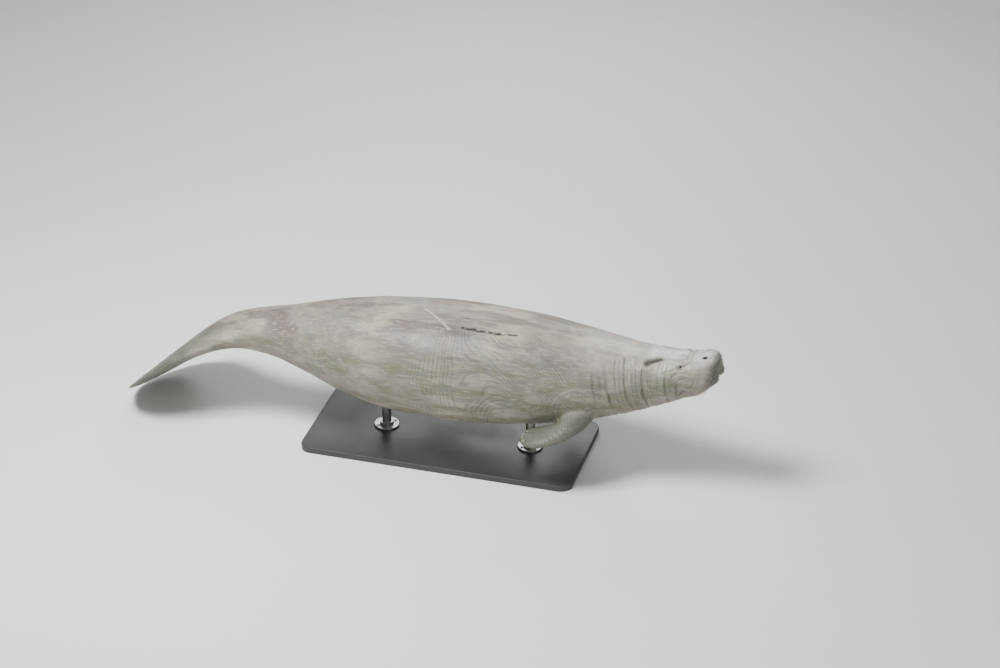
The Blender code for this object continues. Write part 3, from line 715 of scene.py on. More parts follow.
def newGroup(name, inputs, output):
    # inputs are names with default values; a default of None is a vector
    group = bpy.data.node_groups.new(name, "ShaderNodeTree")
    for label, default in inputs.items():
        kind = "NodeSocketVector" if default is None else "NodeSocketFloat"
        socket = group.interface.new_socket(label, in_out="INPUT", socket_type=kind)
        if default is not None:
            socket.default_value = default
    group.interface.new_socket(output, in_out="OUTPUT", socket_type="NodeSocketFloat")
    return group, group.nodes.new("NodeGroupInput").outputs, group.nodes.new("NodeGroupOutput").inputs[output]


def buildCloudGroup():
    # soft patches: a mask that is 1 inside them
    group, given, out = newGroup(
        "cloudPatches", dict(Vector=None, Size=0.2, Low=0.45, High=0.6, Seed=0.0, Detail=3.0), "Mask"
    )
    scale = calc(group, "DIVIDE", 1.0, given["Size"])
    apart = addNode(group, "CombineXYZ", {0: given["Seed"], 1: given["Seed"], 2: given["Seed"]}).outputs[0]
    at = addNode(group, "VectorMath", {0: given["Vector"], 1: apart}, operation="ADD").outputs[0]
    noise = addNode(group, "TexNoise", dict(Vector=at, Scale=scale, Detail=given["Detail"]))
    group.links.new(remap(group, noise.outputs[0], given["Low"], given["High"]), out)
    return group


def buildWrinkleGroup():
    # narrow valleys where the phase is whole; 0 on the crests and -1 in the valleys
    group, given, out = newGroup(
        "wrinkleLines", dict(Vector=None, Phase=0.0, Wander=0.5, WanderSize=0.05, Sharpness=0.6), "Height"
    )
    scale = calc(group, "DIVIDE", 1.0, given["WanderSize"])
    noise = addNode(group, "TexNoise", dict(Vector=given["Vector"], Scale=scale, Detail=2.0)).outputs[0]
    bent = calc(group, "MULTIPLY_ADD", noise, given["Wander"], given["Phase"])
    wave = calc(group, "ABSOLUTE", calc(group, "SINE", calc(group, "MULTIPLY", bent, math.pi)))
    group.links.new(calc(group, "SUBTRACT", calc(group, "POWER", wave, given["Sharpness"]), 1.0), out)
    return group


# Numbers of the groups: warp and roughness as shares of the grain's own scale, the creases' width in cells,
# and the part of a line's half width that is fully covered
groupNumbers = dict(warp=0.6, rough=1.7, crease=0.18, lineCore=0.25)


def buildGrainGroup():
    # fine pebbled grain with a net of creases; Height is about -1 to 1
    group, given, out = newGroup("fineGrain", dict(Vector=None, Size=0.004, Net=1.0), "Height")
    scale = calc(group, "DIVIDE", 1.0, given["Size"])

    def noise(share, detail):
        own = calc(group, "MULTIPLY", scale, groupNumbers[share])
        return addNode(group, "TexNoise", dict(Vector=given["Vector"], Scale=own, Detail=detail)).outputs

    warp = noise("warp", 2.0)["Color"]
    push = addNode(group, "VectorMath", {0: warp, "Scale": given["Size"]}, operation="SCALE")
    at = addNode(group, "VectorMath", {0: given["Vector"], 1: push.outputs[0]}, operation="ADD").outputs[0]
    cells = addNode(group, "TexVoronoi", dict(Vector=at, Scale=scale), feature="DISTANCE_TO_EDGE")
    edge = remap(group, cells.outputs[0], 0.0, groupNumbers["crease"], -1.0, 0.0, smooth=False)
    rough = calc(group, "SUBTRACT", noise("rough", 3.0)[0], 0.5)
    group.links.new(calc(group, "MULTIPLY_ADD", edge, given["Net"], rough), out)
    return group


def buildLineGroup():
    # a mask that is 1 on a straight line from a start place along a run, and fades over its half width
    group, given, out = newGroup("lineMask", dict(Place=None, Start=None, Run=None, Half=0.004), "Mask")

    def vector(operation, first, second, output=0):
        return addNode(group, "VectorMath", {0: first, 1: second}, operation=operation).outputs[output]

    offset = vector("SUBTRACT", given["Place"], given["Start"])
    share = addNode(group, "Math", {0: vector("DOT_PRODUCT", offset, given["Run"], "Value"),
                                    1: vector("DOT_PRODUCT", given["Run"], given["Run"], "Value")},
                    operation="DIVIDE", use_clamp=True).outputs[0]
    nearest = addNode(group, "VectorMath", {0: given["Run"], "Scale": share}, operation="SCALE").outputs[0]
    away = vector("DISTANCE", offset, nearest, "Value")
    halves = calc(group, "DIVIDE", away, given["Half"])
    group.links.new(remap(group, halves, 1.0, groupNumbers["lineCore"]), out)
    return group


cloudPatches = buildCloudGroup()
wrinkleLines = buildWrinkleGroup()
fineGrain = buildGrainGroup()
lineMask = buildLineGroup()


def newMaterial(name, **values):
    material = bpy.data.materials.new(name)
    material.use_nodes = True
    tree = material.node_tree
    shader = tree.nodes["Principled BSDF"]
    for label, value in values.items():
        shader.inputs[label.replace("_", " ")].default_value = value
    return material, tree, shader


def useGroup(tree, group, **inputs):
    made = tree.nodes.new("ShaderNodeGroup")
    made.node_tree = group
    for label, value in inputs.items():
        feed(tree, made.inputs[label], value)
    return made.outputs


def patches(tree, vector, size, low, high, seed, detail=2.5):
    return useGroup(tree, cloudPatches, Vector=vector, Size=size, Low=low, High=high, Seed=seed,
                    Detail=detail)["Mask"]


def stretched(tree, vector, scale):
    return addNode(tree, "Mapping", {"Vector": vector, "Scale": scale}).outputs[0]


def addBump(tree, shader, height, distance):
    bump = addNode(tree, "Bump", dict(Height=height, Distance=distance))
    tree.links.new(bump.outputs[0], shader.inputs["Normal"])


# A patch is given as size, low and high noise level, seed and at times detail; a stretch is the scale across
# the body. The values named along, across, rise and so on are stored in the skin below.
# Scars and dark streaks are lines on the upper side as (distance, offset to the left) places, then half width
# and strength.
hideLook = dict(
    taupe=(0.228, 0.204, 0.178), sand=(0.372, 0.336, 0.272), umber=(0.128, 0.101, 0.094),
    # the pale colour paints sunlight on the upper head and neck, and is also the tone of the pale scars
    olive=(0.138, 0.148, 0.088), slate=(0.165, 0.172, 0.176), pale=(0.680, 0.635, 0.600),
    # the first colour on the next line is painted shade for the muzzle front, cheek fold, flippers and tail
    # end; groove is painted shade for creases and hollows
    paintedShade=(0.060, 0.070, 0.052), groove=(0.050, 0.041, 0.035), darkStreak=(0.016, 0.016, 0.020),
    sandPatch=(0.26, 0.42, 0.64, 1.0), back=(0.10, 0.75), muzzle=(0.17, 0.09),
    # colour, stretch, patch, strength, and where on the body
    layers=(
        ("umber", 3.4, (0.24, 0.47, 0.62, 2.0), 0.80, "back"),
        ("olive", 3.4, (0.19, 0.40, 0.60, 3.0), 0.80, "below"),
        ("slate", 3.4, (0.10, 0.52, 0.66, 4.0), 0.55, None),
        ("sand", 9.0, (0.080, 0.50, 0.68, 5.0), 0.60, None),
        ("umber", 7.0, (0.030, 0.52, 0.70, 9.0), 0.50, None),
    ),
    frayed=(0.045, 0.30, 0.70, 6.0), frayedLeast=0.55,
    upper=(0.2, 0.4), streakBreaks=(0.020, 0.34, 0.48, 10.0), scarNoise=28.0, scarWander=0.012,
    darkStreaks=(
        ((0.976, -0.117), (1.070, -0.128), 0.0090, 0.9), ((1.060, -0.129), (1.245, -0.126), 0.0110, 1.0),
        ((1.225, -0.062), (1.262, -0.066), 0.0060, 0.7), ((0.845, -0.118), (0.885, -0.106), 0.0055, 0.5),
    ),
    paleScars=(
        ((1.306, -0.140), (1.370, -0.090), 0.0075, 0.55), ((1.370, -0.090), (1.469, -0.016), 0.0070, 0.45),
        ((1.610, -0.060), (1.700, -0.110), 0.0055, 0.30), ((1.120, 0.080), (1.240, 0.150), 0.0055, 0.35),
        ((1.540, 0.160), (1.660, 0.110), 0.0055, 0.30), ((1.905, 0.040), (1.960, 0.095), 0.0055, 0.35),
    ),
    # wrinkles counted along a field: how many, their wander and its size
    waves=(1.0, 0.9, 0.06), ripples=(2.7, 2.4, 0.045), whorl=(84.0, 1.6, 0.06), paddle=(95.0, 2.5, 0.12),
    wavePatch=(0.075, 0.36, 0.56, 7.0), whorlPatch=(0.035, 0.36, 0.55, 11.0), whorlReach=(0.085, 0.045),
    whorlShare=0.9, grainStretch=(1.5, 1.0, 0.8), grainSize=0.0060, grainNet=0.7,
    fleckScale=520.0, follicleScale=105.0, follicle=(0.42, 0.10), grainValley=(-0.25, -0.80),
    heights=dict(deep=1.35, rippled=0.40, grain=0.30, fleck=0.16, pimples=0.55, cuts=-1.2, paddle=0.55),
    bump=0.001, shades=dict(deep=-0.55, rippled=-0.16, dark=0.92, valleys=0.09), fleckTone=(0.60, 0.70),
    glossPatch=(0.06, 0.3, 0.7, 8.0), roughness=(0.40, 0.60),
)


def buildHideMaterial():
    look = hideLook
    material, tree, shader = newMaterial("hideSkin", IOR=1.42, Coat_Weight=0.12, Coat_Roughness=0.28,
                                         Specular_IOR_Level=0.42)
    place = addNode(tree, "TexCoord").outputs["Object"]
    names = ("along", "across", "rise", "phase", "fromWhorl", "wrinkles", "paddle", "pale", "paintedShade", "dark")
    along, across, rise, phase, fromWhorl, wrinkles, paddle, pale, paintedShade, dark = (
        attribute(tree, name) for name in names
    )

    def weigh(first, second):
        return calc(tree, "MULTIPLY", first, second)

    def creases(name, field):
        count, wander, size = look[name]
        return useGroup(tree, wrinkleLines, Vector=place, Phase=weigh(field, count), Wander=wander,
                        WanderSize=size)["Height"]

    colour = mixColour(tree, patches(tree, place, *look["sandPatch"]), look["taupe"], look["sand"])
    onBack = remap(tree, rise, *look["back"])
    where = {"back": onBack, "below": calc(tree, "SUBTRACT", 1.0, onBack)}
    for tint, stretch, patch, strength, part in look["layers"]:
        mask = patches(tree, stretched(tree, place, (1.0, stretch, stretch)), *patch)
        if part:
            mask = weigh(mask, where[part])
        colour = mixColour(tree, weigh(mask, strength), colour, look[tint])
    frayed = patches(tree, place, *look["frayed"])
    frayed = calc(tree, "MULTIPLY_ADD", frayed, 1 - look["frayedLeast"], look["frayedLeast"])
    # painted sunlight: paler towards the top of the head and neck
    colour = mixColour(tree, weigh(pale, frayed), colour, look["pale"])
    # painted shade on the front of the muzzle, the cheek fold, the tail's end and the flippers
    colour = mixColour(tree, paintedShade, colour, look["paintedShade"])

    # the scars and dark streaks lie on a plan of the body, a little bent by noise
    plan = addNode(tree, "CombineXYZ", {0: along, 1: across}).outputs[0]
    wobble = addNode(tree, "TexNoise", dict(Vector=place, Scale=look["scarNoise"], Detail=2.0))
    shift = addNode(tree, "VectorMath", {0: wobble.outputs["Color"], "Scale": look["scarWander"]},
                    operation="SCALE").outputs[0]
    centred = (look["scarWander"] / 2,) * 3
    for operation, value in (("ADD", shift), ("SUBTRACT", centred), ("MULTIPLY", (1, 1, 0))):
        plan = addNode(tree, "VectorMath", {0: plan, 1: value}, operation=operation).outputs[0]
    upper = remap(tree, rise, *look["upper"])
    broken = patches(tree, place, *look["streakBreaks"])
    cuts = 0.0
    for kind, tint, edge in (("darkStreaks", "darkStreak", broken), ("paleScars", "pale", frayed)):
        for start, end, half, strength in look[kind]:
            run = (end[0] - start[0], end[1] - start[1], 0)
            mask = useGroup(tree, lineMask, Place=plan, Start=(*start, 0), Run=run, Half=half)["Mask"]
            mask = weigh(weigh(weigh(mask, upper), strength), edge)
            if kind == "darkStreaks":
                cuts = calc(tree, "MAXIMUM", cuts, mask)
            colour = mixColour(tree, mask, colour, look[tint])

    grain = useGroup(tree, fineGrain, Vector=stretched(tree, place, look["grainStretch"]),
                     Size=look["grainSize"], Net=look["grainNet"])["Height"]
    fleck = addNode(tree, "TexNoise", dict(Vector=place, Scale=look["fleckScale"], Detail=2.0)).outputs[0]
    cells = addNode(tree, "TexVoronoi", dict(Vector=place, Scale=look["follicleScale"]))
    follicles = remap(tree, cells.outputs["Distance"], *look["follicle"])
    pimples = weigh(follicles, remap(tree, along, *look["muzzle"]))
    deep = weigh(creases("waves", phase), weigh(wrinkles, patches(tree, place, *look["wavePatch"])))
    inWhorl = weigh(remap(tree, fromWhorl, *look["whorlReach"]), patches(tree, place, *look["whorlPatch"]))
    whorl = weigh(creases("whorl", fromWhorl), weigh(inWhorl, look["whorlShare"]))
    deep = calc(tree, "MINIMUM", deep, whorl)
    parts = dict(
        deep=deep, rippled=weigh(creases("ripples", phase), wrinkles), grain=grain, fleck=fleck,
        pimples=pimples, cuts=cuts, paddle=weigh(creases("paddle", across), paddle), dark=dark,
        valleys=remap(tree, grain, *look["grainValley"]),
    )
    height, shaded = 0.0, 0.0
    for name, strength in look["heights"].items():
        height = calc(tree, "MULTIPLY_ADD", parts[name], strength, height)
    addBump(tree, shader, height, look["bump"])
    # painted shade: wrinkle valleys, folds, hollows and grain valleys are darkened toward the groove colour
    for name, strength in look["shades"].items():
        shaded = calc(tree, "MAXIMUM", shaded, weigh(parts[name], strength))
    colour = mixColour(tree, shaded, colour, look["groove"])
    speckle = calc(tree, "MULTIPLY_ADD", fleck, *look["fleckTone"])
    tint = addNode(tree, "CombineColor", {0: speckle, 1: speckle, 2: speckle}).outputs[0]
    colour = mixColour(tree, 1.0, colour, tint, "MULTIPLY")
    tree.links.new(colour, shader.inputs["Base Color"])
    gloss = remap(tree, patches(tree, place, *look["glossPatch"]), 0.0, 1.0, *look["roughness"])
    tree.links.new(gloss, shader.inputs["Roughness"])
    return material


def keepMaterial(piece, material):
    piece.data.materials.clear()
    piece.data.materials.append(material)


# Painted light and shade on the skin: a pale area is painted sunlight, paler towards the top, with a span
# along the body, a span of angles and a strength
tones = dict(
    paintedSunAreas=(
        ((0.13, 0.34, 0.05), (48, 70), 1.0), ((0.015, 0.115, 0.02), (26, 60), 0.85),
        ((0.05, 0.30, 0.04), (-10, 50), 0.45), ((0.30, 0.66, 0.12), (0, 60), 0.50),
    ),
    noseFront=(0.008, 0.055), noseTop=(0.025, 0.065), noseShade=0.62, paddle=(2.25, 2.75), limbShade=0.72,
    cheekFold=((0.256, 60), (0.314, 49)), cheekHalf=0.0105, cheekShade=0.85, everywhere=0.12,
)

points = corners(skin)
place = bodyPlace(points)
s, angle = place["s"], place["angle"]
limbNow = np.empty(len(points), np.float32)
skin.data.attributes["limb"].data.foreach_get("value", limbNow)
phase, fromWhorl = wavePhase(points, place)
# painted sunlight: the head and neck are paler towards the top
paintedSunAreas = [window(s, *along) * ramp(angle, *around) * strength
             for along, around, strength in tones["paintedSunAreas"]]
noseShade = (1 - ramp(s, *tones["noseFront"])) * (1 - ramp(place["above"], *tones["noseTop"]))
paddle = ramp(s, *tones["paddle"])
fromFold = lineDistance(s, np.radians(angle) * relief["skinRadius"], onSkin(tones["cheekFold"]))
# painted shade: the front of the muzzle, the dark patch on the cheek fold, the tail's end and the flippers
paintedShade = (noseShade * tones["noseShade"], swell(fromFold, tones["cheekShade"], 0, tones["cheekHalf"]),
        tones["limbShade"] * paddle, tones["limbShade"] * limbNow)
skinValues = dict(
    along=s, across=place["across"], rise=np.sin(np.radians(angle)), phase=phase, fromWhorl=fromWhorl,
    wrinkles=np.clip(wrinkled(place) + tones["everywhere"], 0, 1), paddle=paddle,
    pale=np.clip(np.maximum.reduce(paintedSunAreas), 0, 1), paintedShade=np.clip(np.maximum.reduce(paintedShade), 0, 1),
)
for name, values in skinValues.items():
    storeValues(skin, name, values)
keepMaterial(skin, buildHideMaterial())
shadeSoft(skin, 180)
print("skin painted")


# Eyes: a ball with a raised cornea, dark brown as the living one. Each edge between two colours is given
# in degrees from the middle of the pupil.

eyeball = dict(
    segments=40, rings=24, corneaReach=38, corneaBulge=0.0007, shrink=0.0001, fibreScale=900.0,
    iris=((0.016, 0.009, 0.006), (0.060, 0.034, 0.020)), white=((0.060, 0.045, 0.038), (0.120, 0.090, 0.075)),
    pupil=(0.003, 0.003, 0.004), irisRim=(0.010, 0.007, 0.006), pupilEdge=(15, 18), irisEdge=(27, 32),
    whiteEdge=(33, 39),
)


def buildEye(side):
    low, high = boxOf(f"eye_{side}")
    radius = (high - low).max() / 2 - eyeball["shrink"]
    deselect()
    bpy.ops.mesh.primitive_uv_sphere_add(segments=eyeball["segments"], ring_count=eyeball["rings"],
                                         radius=radius)
    piece = bpy.context.active_object
    piece.name = piece.data.name = f"eye{side.title()}"
    points = corners(piece)
    fromPupil = np.degrees(np.arccos(np.clip(points[:, 2] / radius, -1, 1)))
    bulge = eyeball["corneaBulge"] * (1 - ramp(fromPupil, 0, eyeball["corneaReach"]))
    points *= 1 + bulge[:, None] / radius
    gaze = Vector(localFrame(eyePlaces[side])[2])
    turn = np.array(Vector((0, 0, 1)).rotation_difference(gaze).to_matrix())
    setCorners(piece, points @ turn.T + eyePlaces[side])
    storeValues(piece, "fromPupil", fromPupil)
    shadeSoft(piece, 180)
    return piece


def buildEyeMaterial():
    material, tree, shader = newMaterial("wetEye", Roughness=0.12, Coat_Weight=1.0, Coat_Roughness=0.03)
    reach = attribute(tree, "fromPupil")
    place = addNode(tree, "TexCoord").outputs["Object"]
    fibres = addNode(tree, "TexNoise", dict(Vector=place, Scale=eyeball["fibreScale"], Detail=3.0)).outputs[0]
    colour = eyeball["pupil"]
    outer = (mixColour(tree, fibres, *eyeball["iris"]), eyeball["irisRim"],
             mixColour(tree, fibres, *eyeball["white"]))
    for edge, tint in zip(("pupilEdge", "irisEdge", "whiteEdge"), outer):
        colour = mixColour(tree, remap(tree, reach, *eyeball[edge]), colour, tint)
    tree.links.new(colour, shader.inputs["Base Color"])
    return material


wetEye = buildEyeMaterial()
eyes = {side: buildEye(side) for side in ("left", "right")}
for eyePiece in eyes.values():
    keepMaterial(eyePiece, wetEye)
print("eyes made")


# Nails: one domed plate, laid over each nail of the solid model

nail = dict(
    cells=16, rootShare=0.92, rise=-0.10, dome=0.80, domeFall=0.85, domeSink=0.55, tipDrop=0.45,
    thickness=0.30, ridge=0.030, lengthRidges=21, growthRidges=11, shoulder=0.70,
    horn=((0.170, 0.140, 0.108), (0.275, 0.235, 0.185)), stain=(0.130, 0.110, 0.085), stainShare=0.6,
    cloud=(0.006, 0.35, 0.65, 12.0), stainPatch=(0.0022, 0.5, 0.7, 13.0), roughness=(0.38, 0.55),
    grainScale=1200.0, bump=0.0002,
)


def modelNail():
    # in a box of half sizes 1: X toward the tip, Z outward
    deselect()
    bpy.ops.mesh.primitive_grid_add(x_subdivisions=nail["cells"], y_subdivisions=nail["cells"], size=2)
    piece = bpy.context.active_object
    piece.name = piece.data.name = "nailPattern"
    x, y, _ = corners(piece).T
    x, y = x * np.sqrt(1 - y * y / 2), y * np.sqrt(1 - x * x / 2)
    x = np.where(x < 0, x * nail["rootShare"], x)
    z = nail["rise"] + nail["dome"] * (1 - nail["domeFall"] * y * y) - nail["tipDrop"] * np.clip(x, 0, 1) ** 2
    z += nail["ridge"] * np.sin(y * nail["lengthRidges"])
    z += nail["ridge"] * np.cos(np.hypot(x + 1, y) * nail["growthRidges"])
    setCorners(piece, np.stack((x, y, z - nail["dome"] * nail["domeSink"]), -1))
    applyModifier(piece, "SOLIDIFY", thickness=nail["thickness"], offset=-1)
    applyModifier(piece, "SUBSURF", levels=1, render_levels=1)
    return piece


def nailAxes(name):
    # centre, axes and half sizes of a nail node, X toward the flipper's tip and Z up
    low, high = boxOf(name)
    centre = (low + high) / 2
    points = corners(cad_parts[name])
    points = points - points.mean(0)
    axes = np.linalg.svd(points, full_matrices=False)[2]
    shoulder = spineFrame(np.array([nail["shoulder"]]))[0][0]
    axes[0] *= np.sign(axes[0] @ (centre - shoulder))
    axes[2] *= np.sign(axes[2][2])
    axes[1] = np.cross(axes[2], axes[0])
    return centre, axes, np.abs(points @ axes.T).max(0)


def copyPiece(pattern, name):
    piece = pattern.copy()
    piece.data = pattern.data.copy()
    piece.name = piece.data.name = name
    bpy.context.scene.collection.objects.link(piece)
    return piece


def layNail(pattern, name):
    centre, axes, half = nailAxes(name)
    piece = copyPiece(pattern, "nailPlate_" + name.removeprefix("nail_"))
    setCorners(piece, (corners(pattern) * half) @ axes + centre)
    shadeSoft(piece, 50)
    return piece


def buildNailMaterial():
    material, tree, shader = newMaterial("nailHorn", Coat_Weight=0.15, Coat_Roughness=0.35)
    place = addNode(tree, "TexCoord").outputs["Object"]
    cloud = patches(tree, place, *nail["cloud"])
    stain = calc(tree, "MULTIPLY", patches(tree, place, *nail["stainPatch"]), nail["stainShare"])
    colour = mixColour(tree, stain, mixColour(tree, cloud, *nail["horn"]), nail["stain"])
    tree.links.new(colour, shader.inputs["Base Color"])
    tree.links.new(remap(tree, cloud, 0.0, 1.0, *nail["roughness"]), shader.inputs["Roughness"])
    grain = addNode(tree, "TexNoise", dict(Vector=place, Scale=nail["grainScale"], Detail=3.0)).outputs[0]
    addBump(tree, shader, grain, nail["bump"])
    return material


nailPattern = modelNail()
nailHorn = buildNailMaterial()
nails = {name: layNail(nailPattern, name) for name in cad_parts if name.startswith("nail_")}
for piece in nails.values():
    keepMaterial(piece, nailHorn)
bpy.data.objects.remove(nailPattern)
print("nails made,", len(nails))


# Bristles and hairs: each one a tapered, bent, closed spike of three sides, rooted in the skin.
# lie gives how it lies along the body's own forward and up directions.

bristles = dict(
    muzzle=dict(count=2000, seed=5, root=0.00036, length=(0.005, 0.012), lean=0.65, lie=(0.25, -0.8)),
    coat=dict(count=3200, seed=6, root=0.00013, length=(0.008, 0.016), lean=1.10, lie=(-0.9, -0.5)),
    sides=3, shares=(0.0, 0.35, 0.72), taper=(1.0, 0.8, 0.45), sunk=0.0015, bend=0.30, stray=0.22,
    leastRise=0.30, thickness=(0.7, 1.15), eyeClear=0.016, nostrilClear=0.014, clearShare=1.6,
    front=(0.03, 0.09), frontTop=(0.02, 0.06), cheeks=(0.10, 0.16), cheekShare=0.35,
    chin=(0.02, 0.11, 0.02), chinSide=(-60, -40), chinShare=1.2, coatStart=(0.12, 0.20), coatEnd=(2.9, 3.05),
    patch=0.003, margin=0.01, muzzleReach=0.46, muzzleRise=0.8, muzzleSpan=0.30,
    dark=(0.160, 0.135, 0.110), light=(0.420, 0.375, 0.310), tip=(0.560, 0.520, 0.450),
    stain=(0.210, 0.190, 0.160), stainPatch=(0.05, 0.35, 0.65, 14.0), stainShare=0.4,
)


def skinTriangles():
    # corner places, normals and areas
    skin.data.calc_loop_triangles()
    count = len(skin.data.loop_triangles)
    vertices, normals, areas = np.empty(count * 3, int), np.empty(count * 3), np.empty(count)
    skin.data.loop_triangles.foreach_get("vertices", vertices)
    skin.data.loop_triangles.foreach_get("normal", normals)
    skin.data.loop_triangles.foreach_get("area", areas)
    return corners(skin)[vertices.reshape(-1, 3)], normals.reshape(-1, 3), areas


def spikeFaces(count):
    # the rings run counterclockwise seen from the tip, which is a spike's last point
    sides, tip = bristles["sides"], bristles["sides"] * len(bristles["shares"])
    steps = [(k, (k + 1) % sides) for k in range(sides)]
    pattern = [tuple(reversed(range(sides)))]
    for ring in range(0, tip - sides, sides):
        pattern += [(ring + k, ring + after, ring + sides + after, ring + sides + k) for k, after in steps]
    pattern += [(tip - sides + k, tip - sides + after, tip) for k, after in steps]
    starts = range(0, count * (tip + 1), tip + 1)
    return [tuple(start + corner for corner in face) for start in starts for face in pattern]


def growHairs(name, kind, density, unwrap):
    # density gives each place's share of roots, unwrap its place on the flattened skin
    plan, sides = bristles[kind], bristles["sides"]
    draw = np.random.default_rng(plan["seed"])
    spots, normals, areas = skinTriangles()
    middles = spots.mean(1)
    weight = areas * density(middles, bodyPlace(middles))
    chosen = draw.choice(len(areas), plan["count"], p=weight / weight.sum())
    shares = draw.dirichlet((1, 1, 1), plan["count"])
    roots = np.einsum("ij,ijk->ik", shares, spots[chosen])
    outward = normals[chosen]
    place = bodyPlace(roots)
    forward, _, up = spineDirections(place["s"])
    lie = plan["lie"][0] * forward + plan["lie"][1] * up
    lie += draw.normal(0, bristles["stray"], lie.shape)
    way = outward + plan["lean"] * lie
    way = unit(way + outward * np.clip(bristles["leastRise"] - dots(way, outward), 0, None)[:, None])
    length = draw.uniform(*plan["length"], plan["count"])
    thick = plan["root"] * draw.uniform(*bristles["thickness"], plan["count"])
    sideways = unit(np.cross(way, outward + bristles["bend"] * lie))
    other = np.cross(way, sideways)
    drop = lie - outward * dots(lie, outward)[:, None]

    def midline(share):
        bent = way * share + bristles["bend"] * share ** 2 * drop
        return roots - outward * bristles["sunk"] + length[:, None] * bent

    rings = []
    for share, taper in zip(bristles["shares"], bristles["taper"]):
        for turn in np.arange(sides) * math.tau / sides:
            rim = sideways * math.cos(turn) + other * math.sin(turn)
            rings.append(midline(share) + rim * (thick * taper)[:, None])
    points = np.stack((*rings, midline(1.0)), 1)
    mesh = bpy.data.meshes.new(name)
    mesh.from_pydata(points.reshape(-1, 3).tolist(), [], spikeFaces(plan["count"]))
    piece = bpy.data.objects.new(name, mesh)
    bpy.context.scene.collection.objects.link(piece)

    # each hair has its own small square on the flattened skin, with a point of the square for each of its own
    spread = np.array([(k % sides - 1, k // sides - 1) for k in range(len(rings))] + [(0, 1)])
    flat = (unwrap(place)[:, None, :] + spread[None] * bristles["patch"] / 2).reshape(-1, 2)
    loops = np.empty(len(mesh.loops), int)
    mesh.loops.foreach_get("vertex_index", loops)
    layer = mesh.uv_layers.new(name="OFBake")
    layer.uv.foreach_set("vector", flat[loops].astype(np.float32).ravel())
    fromRoot = (*np.repeat(bristles["shares"], sides), 1.0)
    storeValues(piece, "share", np.tile(fromRoot, plan["count"]))
    storeValues(piece, "draw", np.repeat(draw.uniform(0, 1, plan["count"]), len(fromRoot)))
    shadeSoft(piece, 180)
    return piece


def clearOfFace(points):
    # 0 at the eyes and nostrils
    near = np.maximum(nearAny(points, eyePlaces.values(), bristles["eyeClear"]),
                      nearAny(points, nostrilPlaces, bristles["nostrilClear"]))
    return 1 - np.clip(bristles["clearShare"] * near, 0, 1)


def muzzleDensity(points, place):
    s = place["s"]
    front = (1 - ramp(s, *bristles["front"])) * (1 - ramp(place["above"], *bristles["frontTop"]))
    cheeks = bristles["cheekShare"] * (1 - ramp(s, *bristles["cheeks"]))
    chin = bristles["chinShare"] * window(s, *bristles["chin"])
    chin *= 1 - ramp(place["angle"], *bristles["chinSide"])
    return np.maximum.reduce((front, cheeks, chin)) * clearOfFace(points)


def coatDensity(points, place):
    along = ramp(place["s"], *bristles["coatStart"]) * (1 - ramp(place["s"], *bristles["coatEnd"]))
    return along * clearOfFace(points)


def muzzleUnwrap(place):
    # the muzzle opened flat round its tip
    turn = np.arctan2(place["above"], place["across"])
    away = np.maximum(place["s"], 0) + bristles["muzzleRise"] * np.hypot(place["across"], place["above"])
    reach = bristles["muzzleReach"] * np.clip(away / bristles["muzzleSpan"], 0, 1)
    return np.stack((0.5 + reach * np.cos(turn), 0.5 + reach * np.sin(turn)), -1)


def coatUnwrap(place):
    # the body unrolled: along it and round it
    turn = np.arctan2(place["above"], place["across"]) / math.tau
    span = 1 - 2 * bristles["margin"]
    return np.stack((bristles["margin"] + span * place["s"] / spine["length"], 0.5 + span * turn), -1)


def buildHairMaterial():
    material, tree, shader = newMaterial("bristleHorn", Roughness=0.45, Coat_Weight=0.1)
    colour = mixColour(tree, attribute(tree, "draw"), bristles["dark"], bristles["light"])
    colour = mixColour(tree, remap(tree, attribute(tree, "share"), 0.0, 1.0), colour, bristles["tip"])
    cloud = patches(tree, addNode(tree, "TexCoord").outputs["Object"], *bristles["stainPatch"])
    colour = mixColour(tree, calc(tree, "MULTIPLY", cloud, bristles["stainShare"]), colour, bristles["stain"])
    tree.links.new(colour, shader.inputs["Base Color"])
    return material


bristleHorn = buildHairMaterial()
muzzleBristles = growHairs("muzzleBristles", "muzzle", muzzleDensity, muzzleUnwrap)
bodyHairs = growHairs("bodyHairs", "coat", coatDensity, coatUnwrap)
for piece in (muzzleBristles, bodyHairs):
    keepMaterial(piece, bristleHorn)
print("bristles grown")


# Stand: screws and a collar at each rod's foot, a rubber sleeve at its top.
# A profile is a row of (radius, height) places.

stand = dict(
    rods=("front", "rear"), turns=48, sharpAngle=35, gap=0.0001,
    collar=((0.0228, 0.0), (0.0330, 0.0), (0.0345, 0.0015), (0.0345, 0.0135), (0.0330, 0.015),
            (0.0228, 0.015)),
    sleeve=((0.0228, 0.0), (0.0262, 0.0), (0.0275, 0.0015), (0.0275, 0.012), (0.0266, 0.0135),
            (0.0275, 0.015), (0.0275, 0.070), (0.0228, 0.070)),
    sleeveBelow=0.050, screws=4, screwRing=0.0475, firstScrew=45, screwSpin=1.7, screwTurns=32, screwAngle=30,
    screw=((0.0072, 0.0), (0.0072, 0.0022), (0.0066, 0.0036), (0.0050, 0.0046)), recess=0.0030,
    recessDepth=0.0026,
)
steelLook = dict(
    tones=((0.330, 0.326, 0.316), (0.450, 0.450, 0.442)), stretch=(1.0, 1.0, 0.02), grainScale=900.0,
    cloud=(0.05, 0.3, 0.7, 15.0), roughness=(0.24, 0.32), grainRoughness=0.16, bump=0.00008,
)
